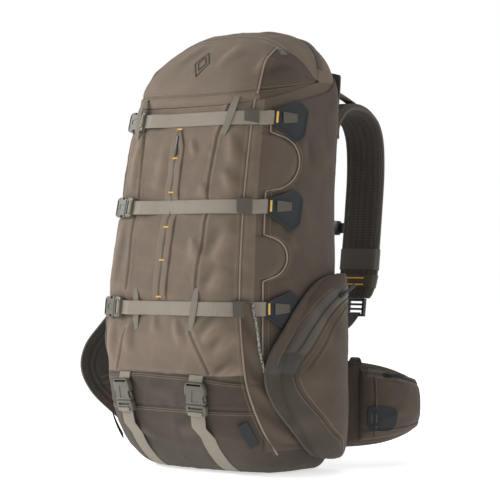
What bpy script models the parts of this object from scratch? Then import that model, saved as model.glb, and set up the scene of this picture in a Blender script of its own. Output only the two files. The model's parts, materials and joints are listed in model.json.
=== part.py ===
"""Hunting backpack: an open-topped bag with a hinged crown, a framed back, a harness with a
hip belt, two swing-out side pockets and clip-fastened straps.

Frame: +Z up, -Y is the front of the pack, +Y faces the wearer's back, +X is the wearer's right.
The origin is the middle of the base panel's underside. All sizes are in metres.
"""
import math

import bmesh
import bpy
from mathutils import Matrix, Vector

# Overall sizes of the bag
BAG_HEIGHT = 0.634
BAG_DEPTH = 0.213
BAG_WIDTH = 0.304

# Walls, panels and clearances
BAG_WALL = 0.0035
BASE_THICKNESS = 0.003
PANEL_THICKNESS = 0.0024
PATCH_THICKNESS = 0.002
GAP = 0.0005
LAYER_GAP = 0.0017
PANEL_CLEAR = 0.0036

# Crown
RIM_SHARE = 0.8225
RIM_SLOPE = 0.28
ZIP_LEAN = 0.4
CROWN_ZIP_Y = 0.040
HINGE_STANDOFF = 0.0015

# Webbing and its clips
STRAP_ROWS = {"upper": 0.793, "middle": 0.596, "lower": 0.371}
COMPRESSION_WEB = 0.020
LASH_WEB = 0.025
HIP_WEB = 0.038
WEB_THICKNESS = 0.0014
STRAP_LIFT = 0.0024
CLIP_X = -0.088
CLIP_TRAVEL = 0.016
CLIP_WALL = 0.0018
CLIP_FIT = 0.0006
CLIP_INSIDE = 0.0046
CLIP_BASE = 0.0165
PRONG_WIDTH = 0.0022
PRONG_THICKNESS = 0.0034
CLIP_CLEAR = CLIP_INSIDE / 2 + CLIP_WALL + GAP
LASH_X = 0.070
LASH_BUCKLE_Z = 0.104

# Side panels and their anchor patches, angles in degrees round the bag from +X
PANEL_FRONT_ANGLE = -38.0
PANEL_REAR_ANGLE = 17.0
PANEL_BOTTOM = 0.035
SCALLOP_UPPER = (19.0, 0.040)
SCALLOP_LOWER = (13.0, 0.030)

# Side pockets
POCKET_BASE = 0.026
POCKET_HEIGHT = 0.258
POCKET_BULGE = 0.034
POCKET_SAG = 0.85
POCKET_EDGE = 0.004
POCKET_FLARE = 36.0
POCKET_REAR_ANGLE = 14.0

# Back and frame
SHEET_THICKNESS = 0.002
STAY_WIDTH = 0.020
STAY_THICKNESS = 0.003
STAY_X = 0.055
BACK_FOAM = 0.006
PAD_THICKNESS = 0.011

# Harness
SHOULDER_X = 0.080
SHOULDER_WIDTH = 0.068
SHOULDER_THICKNESS = 0.013
STERNUM_Z = 0.350
STERNUM_WEB = 0.016
STERNUM_TRAVEL = 0.030

# Hip belt
BELT_ROOT = (0.092, 0.126)
BELT_THICKNESS = 0.014
BELT_ROOT_Z = (0.028, 0.152)
BELT_TIP_Z = (0.050, 0.118)
HIP_POCKET_BULGE = 0.026

# Height, front, back and half width of the bag, as shares of its height, depth, depth and width
STATIONS = (
    (0.000, -0.225, 0.270, 0.737),
    (0.0095, -0.329, 0.310, 0.829),
    (0.0315, -0.432, 0.340, 0.895),
    (0.079, -0.554, 0.352, 0.954),
    (0.158, -0.653, 0.355, 0.987),
    (0.284, -0.690, 0.352, 1.000),
    (0.410, -0.667, 0.352, 0.993),
    (0.500, -0.620, 0.352, 0.987),
    (0.631, -0.549, 0.370, 0.961),
    (0.789, -0.455, 0.425, 0.934),
    (0.860, -0.390, 0.450, 0.908),
    (0.923, -0.282, 0.452, 0.829),
    (0.965, -0.141, 0.420, 0.684),
    (0.989, -0.014, 0.362, 0.487),
    (1.000, 0.117, 0.262, 0.197),
)
SPAN_STEPS = 12
CENTRE_SHARE = 0.24

# Heights of the bag's rings, as shares of its height, closer together where it curves
RING_SHARES = (0.0, 0.025, 0.06, 0.12, 0.22, 0.34, 0.46, 0.58, 0.70, 0.79, 0.86, 0.91, 0.95, 0.98, 0.995)
RING_POINTS = 36

# Colours as linear red, green, blue, then roughness and metallic
TAUPE = ((0.235, 0.185, 0.141), 0.80, 0.0)
TAUPE_DARK = ((0.095, 0.072, 0.052), 0.82, 0.0)
WEBBING = ((0.270, 0.235, 0.190), 0.75, 0.0)
CHARCOAL = ((0.034, 0.030, 0.027), 0.85, 0.0)
RUBBER = ((0.009, 0.011, 0.013), 0.55, 0.0)
PLASTIC = ((0.165, 0.155, 0.130), 0.45, 0.0)
BLACK_PLASTIC = ((0.012, 0.012, 0.012), 0.40, 0.0)
ALUMINIUM = ((0.600, 0.610, 0.620), 0.35, 1.0)
ZIP_TAPE = ((0.110, 0.090, 0.070), 0.60, 0.0)


# ---------------------------------------------------------------- scene and object helpers

def clear_scene():
    for item in list(bpy.data.objects):
        bpy.data.objects.remove(item, do_unlink=True)


def finish_material(name, finish):
    colour, roughness, metallic = finish
    material = bpy.data.materials.new(name)
    material.use_nodes = True
    shader = material.node_tree.nodes["Principled BSDF"]
    shader.inputs["Base Color"].default_value = (*colour, 1.0)
    shader.inputs["Roughness"].default_value = roughness
    shader.inputs["Metallic"].default_value = metallic
    material.diffuse_color = (*colour, 1.0)
    return material


def add_mesh(name, verts, faces, finish, cutter=False):
    """A named object from closed faces, turned to point outwards."""
    mesh = bpy.data.meshes.new(name)
    mesh.from_pydata([tuple(v) for v in verts], [], faces)
    work = bmesh.new()
    work.from_mesh(mesh)
    bmesh.ops.recalc_face_normals(work, faces=work.faces)
    work.to_mesh(mesh)
    work.free()
    item = bpy.data.objects.new(name, mesh)
    bpy.context.scene.collection.objects.link(item)
    if cutter:
        item.hide_render = True
        item.display_type = "WIRE"
    else:
        mesh.materials.append(finish_material(name, finish))
        mesh.shade_smooth()
    return item


def combine(item, tool, operation="DIFFERENCE", solver="EXACT"):
    step = item.modifiers.new(tool.name, "BOOLEAN")
    step.operation = operation
    step.solver = solver
    step.object = tool


def grid_solid(name, point, columns, rows, inner, outer, finish):
    """A closed slab: point(u, v, out) from the offset inner to outer, u and v from 0 to 1."""
    verts = []
    for offset in (inner, outer):
        for j in range(rows + 1):
            for i in range(columns + 1):
                u, v = i / columns, j / rows
                out = offset(u, v) if callable(offset) else offset
                verts.append(point(u, v, out))
    layer = (columns + 1) * (rows + 1)

    def at(side, i, j):
        return side * layer + j * (columns + 1) + i

    faces = []
    for j in range(rows):
        for i in range(columns):
            corners = ((i, j), (i + 1, j), (i + 1, j + 1), (i, j + 1))
            faces.append([at(0, *c) for c in corners])
            faces.append([at(1, *c) for c in reversed(corners)])
    border = [(i, 0) for i in range(columns)]
    border += [(columns, j) for j in range(rows)]
    border += [(i, rows) for i in range(columns, 0, -1)]
    border += [(0, j) for j in range(rows, 0, -1)]
    for here, there in zip(border, border[1:] + border[:1]):
        faces.append([at(0, *here), at(1, *here), at(1, *there), at(0, *there)])
    return add_mesh(name, verts, faces, finish)


def loft(rings):
    """Vertices and faces of a closed solid through rings of equal point counts."""
    count = len(rings[0])
    verts = [p for ring in rings for p in ring]
    faces = [list(range(count)), list(range(len(verts) - count, len(verts)))]
    for k in range(len(rings) - 1):
        for i in range(count):
            j = (i + 1) % count
            faces.append([k * count + i, k * count + j, (k + 1) * count + j, (k + 1) * count + i])
    return verts, faces


def brick(name, place, low, high, finish, cutter=False):
    """A box between two corners given in the frame of the matrix place."""
    corners = [(x, y, z) for z in (low[2], high[2]) for x, y in
               ((low[0], low[1]), (high[0], low[1]), (high[0], high[1]), (low[0], high[1]))]
    verts, faces = loft([[place @ Vector(c) for c in corners[:4]],
                         [place @ Vector(c) for c in corners[4:]]])
    return add_mesh(name, verts, faces, finish, cutter)


def note_slide(item, axis, travel):
    """Keeps on a sliding piece the direction and the length of its travel."""
    item["slide_axis"] = list(axis)
    item["slide_travel"] = travel


def smooth_path(points, steps):
    """A Catmull-Rom curve through vectors, steps points to each span."""
    path = []
    last = len(points) - 1
    for k in range(last):
        a, b, c, d = (points[max(0, min(last, k + n))] for n in (-1, 0, 1, 2))
        for s in range(steps):
            t = s / steps
            path.append(0.5 * (2 * b + (c - a) * t + (2 * a - 5 * b + 4 * c - d) * t * t
                               + (3 * b - a - 3 * c + d) * t ** 3))
    path.append(points[-1])
    return path


def ribbon(name, stations, width, thickness, finish):
    """Flat webbing through (centre, across, normal) stations."""
    rings = []
    for centre, across, normal in stations:
        side, lift = across * width / 2, normal * thickness / 2
        rings.append([centre - side - lift, centre + side - lift, centre + side + lift,
                      centre - side + lift])
    verts, faces = loft(rings)
    return add_mesh(name, verts, faces, finish)


# ---------------------------------------------------------------- the bag's outer surface

def station_profile():
    scaled = [Vector((h * BAG_HEIGHT, f * BAG_DEPTH, b * BAG_DEPTH, w * BAG_WIDTH / 2))
              for h, f, b, w in STATIONS]
    return smooth_path(scaled, SPAN_STEPS)


PROFILE = station_profile()


def level(z):
    """Front y, back y and half width of the bag at height z."""
    z = max(0.0, min(BAG_HEIGHT, z))
    for low, high in zip(PROFILE, PROFILE[1:]):
        if z <= high[0]:
            row = low.lerp(high, (z - low[0]) / max(high[0] - low[0], 1e-9))
            return row[1], row[2], row[3]
    return tuple(PROFILE[-1])[1:]


def corner_powers(z):
    """Superellipse powers of the front and back halves: boxy, rounder towards the crown."""
    share = max(0.0, min(1.0, (z / BAG_HEIGHT - 0.8) / 0.2))
    ease = share * share * (3 - 2 * share)
    return 4.1 - 1.6 * ease, 6.0 - 3.2 * ease


def bag_surface(angle, z):
    front, back, half = level(z)
    power_front, power_back = corner_powers(z)
    centre = back - CENTRE_SHARE * (back - front)
    c, s = math.cos(math.radians(angle)), math.sin(math.radians(angle))
    power = power_front if s < 0 else power_back
    reach = centre - front if s < 0 else back - centre
    radius = ((abs(c) / half) ** power + (abs(s) / reach) ** power) ** (-1 / power)
    return Vector((radius * c, centre + radius * s, z))


def bag_axes(angle, z):
    """Unit vectors round the bag, up it and out of it."""
    around = (bag_surface(angle + 0.5, z) - bag_surface(angle - 0.5, z)).normalized()
    low, high = max(z - 0.002, 0.0), min(z + 0.002, BAG_HEIGHT)
    up = (bag_surface(angle, high) - bag_surface(angle, low)).normalized()
    out = around.cross(up).normalized()
    return around, out.cross(around).normalized(), out


def bag_point(angle, z, out=0.0):
    return bag_surface(angle, z) + bag_axes(angle, z)[2] * out


def front_angle(x, z):
    """The angle at which the front of the bag reaches x at height z."""
    low, high = -178.0, -2.0
    for _ in range(40):
        middle = (low + high) / 2
        if bag_surface(middle, z).x < x:
            low = middle
        else:
            high = middle
    return (low + high) / 2


def front_point(x, z, out=0.0):
    return bag_point(front_angle(x, z), z, out)


def back_point(x, z, out=0.0):
    front, back, half = level(z)
    power = corner_powers(z)[1]
    reach = CENTRE_SHARE * (back - front)
    share = max(0.0, 1 - (abs(x) / half) ** power)
    return Vector((x, back - reach + reach * share ** (1 / power) + out, z))


def mirror_x(point, side):
    return Vector((point[0] * side, point[1], point[2]))


# ---------------------------------------------------------------- bag and crown

RIM_Z = RIM_SHARE * BAG_HEIGHT
HINGE_Y = bag_surface(-90, RIM_Z).y - HINGE_STANDOFF


def crown_block(name, shrink):
    """The region of the crown: above the slanting rim and in front of the crown's zip."""
    rim_at_zip = RIM_Z + RIM_SLOPE * (CROWN_ZIP_Y - HINGE_Y)
    far, top = 2 * BAG_DEPTH, 1.3 * BAG_HEIGHT
    outline = [(-far, RIM_Z + shrink), (HINGE_Y, RIM_Z + shrink),
               (CROWN_ZIP_Y - shrink, rim_at_zip + shrink),
               (CROWN_ZIP_Y + ZIP_LEAN * (top - rim_at_zip) - shrink, top), (-far, top)]
    rings = [[Vector((x, y, z)) for y, z in outline] for x in (-BAG_WIDTH, BAG_WIDTH)]
    verts, faces = loft(rings)
    return add_mesh(name, verts, faces, TAUPE, cutter=True)


def bag_shell(name, finish):
    """The bag's wall all the way round and over, closed inside and out."""
    angles = [360 * k / RING_POINTS for k in range(RING_POINTS)]
    bottom = BASE_THICKNESS + GAP
    heights = [bottom + s * (BAG_HEIGHT - bottom) for s in RING_SHARES]
    outer = [[bag_point(a, z) for a in angles] for z in heights]
    inner_low = bottom + BAG_WALL
    heights = [inner_low + s * (BAG_HEIGHT - BAG_WALL - inner_low) for s in RING_SHARES]
    inner = []
    for z in heights:
        ring = [bag_point(a, z, -BAG_WALL) for a in angles]
        inner.append([Vector((p.x, p.y, z)) for p in ring])
    verts, faces = loft(outer)
    more_verts, more_faces = loft(inner)
    count = len(verts)
    outer_faces = len(faces)
    faces += [[count + i for i in face] for face in more_faces]
    bag = add_mesh(name, verts + more_verts, faces, finish)
    for face in bag.data.polygons[outer_faces:]:
        face.flip()
    return bag


def build_bag():
    bag = bag_shell("main_bag", TAUPE)
    combine(bag, crown_block("crown_opening", 0.0), "DIFFERENCE", "MANIFOLD")
    crown = bag_shell("crown_lid", TAUPE)
    combine(crown, crown_block("crown_region", GAP), "INTERSECT", "MANIFOLD")

    ring = [bag_surface(360 * k / RING_POINTS, 0.0) for k in range(RING_POINTS)]
    lifted = [p + Vector((0, 0, BASE_THICKNESS)) for p in ring]
    verts, faces = loft([ring, lifted])
    add_mesh("base_panel", verts, faces, TAUPE_DARK)


# ---------------------------------------------------------------- side panels and patches

def row_height(row):
    return STRAP_ROWS[row] * BAG_HEIGHT


def panel_front(z):
    """Front edge of a side panel: two scallops between the three strap rows."""
    angle = PANEL_FRONT_ANGLE
    pairs = (("upper", "middle", SCALLOP_UPPER), ("middle", "lower", SCALLOP_LOWER))
    for above, below, (depth, half) in pairs:
        middle = (row_height(above) + row_height(below)) / 2
        share = max(0.0, 1 - ((z - middle) / half) ** 2)
        angle += depth * share ** 0.5
    return angle


def panel_top(u):
    return row_height("upper") + 0.017 + 0.036 * u


def build_side_panel(name, side):
    inner = PANEL_CLEAR
    rows = 22

    def point(u, v, out):
        z = PANEL_BOTTOM + v * (panel_top(0) - PANEL_BOTTOM)
        start = panel_front(z)
        angle = start + u ** 1.4 * (PANEL_REAR_ANGLE - start)
        z += max(0.0, v - 0.8) / 0.2 * (panel_top(u) - panel_top(0))
        return mirror_x(bag_point(angle, z, out), side)

    grid_solid(name, point, 10, rows, inner, inner + PANEL_THICKNESS, TAUPE_DARK)


def build_patch(name, row, side):
    """A six-sided rubber patch, on the panel where a strap is anchored."""
    z = row_height(row)
    inner = PANEL_CLEAR + PANEL_THICKNESS + LAYER_GAP
    outline = ((-37.5, -0.012), (-37.5, 0.010), (-24.0, 0.025), (-17.0, 0.012), (-19.0, -0.026),
               (-24.5, -0.036))
    centre = (-27.0, -0.004)
    rings = 3
    edge = []
    for here, there in zip(outline, outline[1:] + outline[:1]):
        edge.append(here)
        edge.append(((here[0] + there[0]) / 2, (here[1] + there[1]) / 2))
    verts, faces = [], []
    count = len(edge)
    for out in (inner, inner + PATCH_THICKNESS):
        verts.append(mirror_x(bag_point(centre[0], z + centre[1], out), side))
        for ring in range(1, rings + 1):
            share = ring / rings
            for a, dz in edge:
                angle = centre[0] + share * (a - centre[0])
                height = z + centre[1] + share * (dz - centre[1])
                verts.append(mirror_x(bag_point(angle, height, out), side))
    layer = 1 + rings * count
    for base in (0, layer):
        for i in range(count):
            j = (i + 1) % count
            faces.append([base, base + 1 + i, base + 1 + j])
            for ring in range(rings - 1):
                low, high = base + 1 + ring * count, base + 1 + (ring + 1) * count
                faces.append([low + i, high + i, high + j, low + j])
    rim = 1 + (rings - 1) * count
    for i in range(count):
        j = (i + 1) % count
        faces.append([rim + i, layer + rim + i, layer + rim + j, rim + j])
    add_mesh(name, verts, faces, RUBBER)


# ---------------------------------------------------------------- clips

def clip_frame(origin, along, out):
    """A frame with X along the webbing, Y across it and Z away from the bag."""
    across = out.cross(along).normalized()
    return Matrix((
        (along.x, across.x, out.x, origin.x), (along.y, across.y, out.y, origin.y),
        (along.z, across.z, out.z, origin.z), (0, 0, 0, 1)))


def build_clip(name, place, web):
    """A side-release clip. X points from the socket to the webbing; X = 0 is the socket's mouth."""
    wall, fit = CLIP_WALL, CLIP_FIT
    half = web / 2 + fit + PRONG_WIDTH
    socket_half = half + fit + wall
    length = 1.25 * web
    prong_length = 0.62 * web
    top = CLIP_INSIDE / 2 + wall
    beyond = 0.01

    socket = brick(f"{name}_socket", place, (-length, -socket_half, -top), (0, socket_half, top), PLASTIC)
    bar = 0.006
    mouth = brick(f"{name}_mouth", place, (-length + 2 * wall + bar, -half - fit, -CLIP_INSIDE / 2),
                  (beyond, half + fit, CLIP_INSIDE / 2), PLASTIC, cutter=True)
    combine(socket, mouth)
    gate = CLIP_INSIDE / 2 - fit / 2
    window = brick(f"{name}_window", place, (-0.8 * prong_length, -socket_half - beyond, -gate),
                   (-0.25 * prong_length, socket_half + beyond, gate), PLASTIC, cutter=True)
    combine(socket, window)
    slot = brick(f"{name}_slot", place, (-length + wall, -web / 2, -2 * top),
                 (-length + wall + bar / 2, web / 2, 2 * top), PLASTIC, cutter=True)
    combine(socket, slot)

    thick = PRONG_THICKNESS / 2
    tongue = brick(f"{name}_clip", place, (-prong_length, -half, -thick), (CLIP_BASE - GAP, half, thick),
                   PLASTIC)
    base = brick(f"{name}_base", place, (GAP, -socket_half, -top), (CLIP_BASE, socket_half, top),
                 PLASTIC, cutter=True)
    combine(tongue, base, "UNION")
    between = brick(f"{name}_between", place, (-prong_length - beyond, -web / 2 - fit / 2, -beyond),
                    (-GAP, web / 2 + fit / 2, beyond), PLASTIC, cutter=True)
    combine(tongue, between)
    tunnel = brick(f"{name}_tunnel", place, (-beyond, -web / 2 - fit, -WEB_THICKNESS / 2 - fit),
                   (CLIP_BASE + beyond, web / 2 + fit, WEB_THICKNESS / 2 + fit), PLASTIC, cutter=True)
    combine(tongue, tunnel)
    note_slide(tongue, place.to_3x3() @ Vector((1, 0, 0)), CLIP_TRAVEL)


def strap_stations(place, straight, path):
    """Stations of a strap: straight out of its clip, then along the path of (point, across, out)."""
    along = (place.to_3x3() @ Vector((1, 0, 0))).normalized()
    across = (place.to_3x3() @ Vector((0, 1, 0))).normalized()
    out = (place.to_3x3() @ Vector((0, 0, 1))).normalized()
    start = place.translation
    return [(start + along * GAP, across, out), (start + along * straight, across, out)] + path


def build_compression(row):
    """One strap across the front, with its clip on the wearer's left."""
    z = row_height(row)
    lift, settle = 0.0010, 0.030
    angle = front_angle(CLIP_X, z)
    around, _, out = bag_axes(angle, z)
    place = clip_frame(bag_surface(angle, z) + out * (CLIP_CLEAR + lift), around, out)
    build_clip(f"compression_{row}", place, COMPRESSION_WEB)

    straight = CLIP_BASE + CLIP_TRAVEL + 0.004
    end = place @ Vector((straight, 0, 0))
    start_angle = front_angle(end.x + settle, z)
    path = []
    steps = 16
    last = PANEL_FRONT_ANGLE - 2.0
    for k in range(steps + 1):
        a = start_angle + (last - start_angle) * k / steps
        _, up, normal = bag_axes(a, z)
        path.append((bag_point(a, z, STRAP_LIFT), up, normal))
    ribbon(f"compression_{row}_webbing", strap_stations(place, straight, path), COMPRESSION_WEB,
           WEB_THICKNESS, WEBBING)


def build_lash(side_name, side):
    """One strap round the lower front, sewn at the base, with its clip above."""
    z = LASH_BUCKLE_Z
    x = side * LASH_X
    lift, foot, settle = 0.0022, 0.006, 0.016
    angle = front_angle(x, z)
    _, up, out = bag_axes(angle, z)
    place = clip_frame(bag_surface(angle, z) + out * (CLIP_CLEAR + lift), -up, out)
    build_clip(f"lash_{side_name}", place, LASH_WEB)

    straight = CLIP_BASE + CLIP_TRAVEL + 0.002
    end = place @ Vector((straight, 0, 0))
    path = []
    steps = 7
    across = (place.to_3x3() @ Vector((0, 1, 0))).normalized()
    for k in range(steps + 1):
        height = (end.z - settle) * (1 - k / steps) + foot * k / steps
        a = front_angle(x, height)
        normal = bag_axes(a, height)[2]
        flat = (across - normal * across.dot(normal)).normalized()
        path.append((bag_point(a, height, STRAP_LIFT), flat, normal))
    ribbon(f"lash_{side_name}_webbing", strap_stations(place, straight, path), LASH_WEB,
           WEB_THICKNESS, WEBBING)


# ---------------------------------------------------------------- front zip

ZIP_TOP = row_height("upper") - 0.014
ZIP_BOTTOM = row_height("lower") + 0.012
TAPE_WIDTH = 0.026
TAPE_THICKNESS = 0.0011
SLIDER_LENGTH = 0.012
SLIDER_WIDTH = 0.008
SLIDER_HEIGHT = 0.003
PULL_LENGTH = 0.034


def slider_block(name, place, start=0.0):
    """A zip's slider, along X from start."""
    half = SLIDER_WIDTH / 2
    far = start + SLIDER_LENGTH
    return brick(name, place, (start, -half, 0.0), (far, half, SLIDER_HEIGHT), BLACK_PLASTIC)


def build_front_zip():
    def point(u, v, out):
        return front_point((u - 0.5) * TAPE_WIDTH, ZIP_BOTTOM + v * (ZIP_TOP - ZIP_BOTTOM), out)

    grid_solid("front_zip_tape", point, 2, 12, GAP / 2, GAP / 2 + TAPE_THICKNESS, ZIP_TAPE)

    end_clear = 0.006
    high = bag_point(-90, ZIP_TOP - end_clear)
    low = bag_point(-90, row_height("middle") + COMPRESSION_WEB / 2 + 0.016)
    middle = bag_point(-90, (high.z + low.z) / 2)
    along = (high - low).normalized()
    out = Vector((0, -along.z, along.y))
    bow = max(0.0, (middle - low).dot(out)) + GAP / 2 + TAPE_THICKNESS + 2 * GAP
    place = clip_frame(high + out * bow, along, out)
    slider = slider_block("front_zip_slider", place, -SLIDER_LENGTH)
    pull = brick("front_zip_pull", place, (-PULL_LENGTH, -0.0028, 0.0010), (-0.004, 0.0028, 0.0044),
                 BLACK_PLASTIC, cutter=True)
    combine(slider, pull, "UNION")
    note_slide(slider, -along, (high - low).length - PULL_LENGTH)


# ---------------------------------------------------------------- side pockets

POCKET_OUTLINE = (  # share of the pocket's height, front edge angle
    (0.00, -6.0), (0.06, -16.0), (0.18, -27.0), (0.30, -35.0), (0.43, -38.5), (0.56, -36.5), (0.68, -30.0),
    (0.83, -20.0), (0.95, -6.0), (1.00, 10.0))
POCKET_CLEAR = PANEL_CLEAR + PANEL_THICKNESS + PATCH_THICKNESS + 2 * LAYER_GAP


def pocket_front(share):
    for (low, a), (high, b) in zip(POCKET_OUTLINE, POCKET_OUTLINE[1:]):
        if share <= high:
            return a + (b - a) * (share - low) / (high - low)
    return POCKET_OUTLINE[-1][1]


def pocket_swell(u, v):
    along = math.sin(math.pi * min(1.0, max(0.0, (u - 0.12) / 0.88))) ** 0.7
    return along * math.sin(math.pi * v ** POCKET_SAG) ** 0.45


def pocket_hinge(side):
    """The upright line behind a side pocket that it swings on."""
    xs, ys = [], []
    for share in (0.1, 0.3, 0.5, 0.7, 0.9):
        p = bag_point(POCKET_REAR_ANGLE, POCKET_BASE + share * POCKET_HEIGHT, POCKET_CLEAR)
        xs.append(p.x)
        ys.append(p.y)
    return Vector((side * min(xs), max(ys) + 0.001, POCKET_BASE + POCKET_HEIGHT / 2))


def pocket_turn(side, flare):
    """The turn about the hinge line that opens a pocket by flare degrees."""
    hinge = pocket_hinge(side)
    turn = Matrix.Rotation(math.radians(side * flare), 4, "Z")
    return Matrix.Translation(hinge) @ turn @ Matrix.Translation(-hinge)


def build_side_pocket(side_name, side, flare):
    place = pocket_turn(side, flare)

    def point(u, v, out):
        start = pocket_front(v)
        angle = start + u * (POCKET_REAR_ANGLE - start)
        return place @ mirror_x(bag_point(angle, POCKET_BASE + v * POCKET_HEIGHT, out), side)

    def outside(u, v):
        return POCKET_CLEAR + POCKET_EDGE + POCKET_BULGE * pocket_swell(u, v)

    grid_solid(f"side_pocket_{side_name}", point, 9, 14, POCKET_CLEAR, outside, TAUPE_DARK)

    start_u, start_v = 0.55, 0.86
    end_u, end_v = 0.34, 0.70
    start = point(start_u, start_v, outside(start_u, start_v))
    end = point(end_u, end_v, outside(end_u, end_v))
    middle = point((start_u + end_u) / 2, (start_v + end_v) / 2,
                   outside((start_u + end_u) / 2, (start_v + end_v) / 2))
    along = (end - start).normalized()
    below = point(start_u + 0.06, start_v, outside(start_u + 0.06, start_v)) - start
    out = along.cross(below).normalized()
    if out.dot(Vector((side, 0, 0))) < 0:
        out = -out
    bow = max(0.0, (middle - start).dot(out)) + 0.0022
    frame = clip_frame(start + out * bow, along, out)
    slider = slider_block(f"side_zip_slider_{side_name}", frame)
    note_slide(slider, along, 0.9 * ((end - start).length - SLIDER_LENGTH))


# ---------------------------------------------------------------- framed back

SHEET_OUT = LAYER_GAP
STAY_OUT = SHEET_OUT + SHEET_THICKNESS + GAP
FOAM_OUT = STAY_OUT + STAY_THICKNESS + GAP
PAD_OUT = FOAM_OUT + BACK_FOAM + LAYER_GAP


def back_slab(name, x_range, z_range, out_range, finish, columns=4, rows=8, round_off=0.0):
    (x0, x1), (z0, z1) = x_range, z_range

    def point(u, v, out):
        waist = 1 - round_off * (2 * v - 1) ** 4
        centre = (x0 + x1) / 2
        x = centre + (x0 - centre + u * (x1 - x0)) * waist
        return back_point(x, z0 + v * (z1 - z0), out)

    grid_solid(name, point, columns, rows, out_range[0], out_range[1], finish)


def build_back():
    top = 0.80 * BAG_HEIGHT
    back_slab("frame_sheet", (-0.110, 0.110), (0.050, top), (SHEET_OUT, SHEET_OUT + SHEET_THICKNESS),
              BLACK_PLASTIC, 6, 10)
    for side_name, side in (("right", 1), ("left", -1)):
        edge = sorted((side * (STAY_X - STAY_WIDTH / 2), side * (STAY_X + STAY_WIDTH / 2)))
        back_slab(f"frame_stay_{side_name}", edge, (0.060, top - 0.010),
                  (STAY_OUT, STAY_OUT + STAY_THICKNESS), ALUMINIUM, 1, 10)
    back_slab("back_panel", (-0.118, 0.118), (0.040, top + 0.015), (FOAM_OUT, FOAM_OUT + BACK_FOAM),
              CHARCOAL, 6, 10)
    for side_name, side in (("right", 1), ("left", -1)):
        edge = sorted((side * 0.016, side * 0.098))
        back_slab(f"back_pad_{side_name}", edge, (0.205, 0.420), (PAD_OUT, PAD_OUT + PAD_THICKNESS),
                  CHARCOAL, 3, 8, 0.12)
    back_slab("lumbar_pad", (-0.078, 0.078), (0.050, 0.165), (PAD_OUT, PAD_OUT + 0.014), CHARCOAL,
              6, 5, 0.15)
    back_slab("harness_yoke", (-0.118, 0.118), (0.436, 0.474), (PAD_OUT, PAD_OUT + 0.008),
              CHARCOAL, 6, 3, 0.06)


# ---------------------------------------------------------------- harness

SHOULDER_PIVOT = Vector((0, back_point(SHOULDER_X, 0.455, PAD_OUT + 0.012).y + 0.004, 0.486))


def shoulder_route():
    """The middle line of a shoulder strap in the plane of its length."""
    y0 = back_point(SHOULDER_X, 0.455, PAD_OUT + 0.008).y
    points = [Vector((0, y0 + 0.012, 0.484)), Vector((0, y0 + 0.022, 0.507)),
              Vector((0, y0 + 0.048, 0.528)), Vector((0, y0 + 0.082, 0.524)),
              Vector((0, y0 + 0.106, 0.492)), Vector((0, y0 + 0.111, 0.440)),
              Vector((0, y0 + 0.105, 0.370)), Vector((0, y0 + 0.097, 0.300)),
              Vector((0, y0 + 0.090, 0.245))]
    return smooth_path(points, 3)


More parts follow.
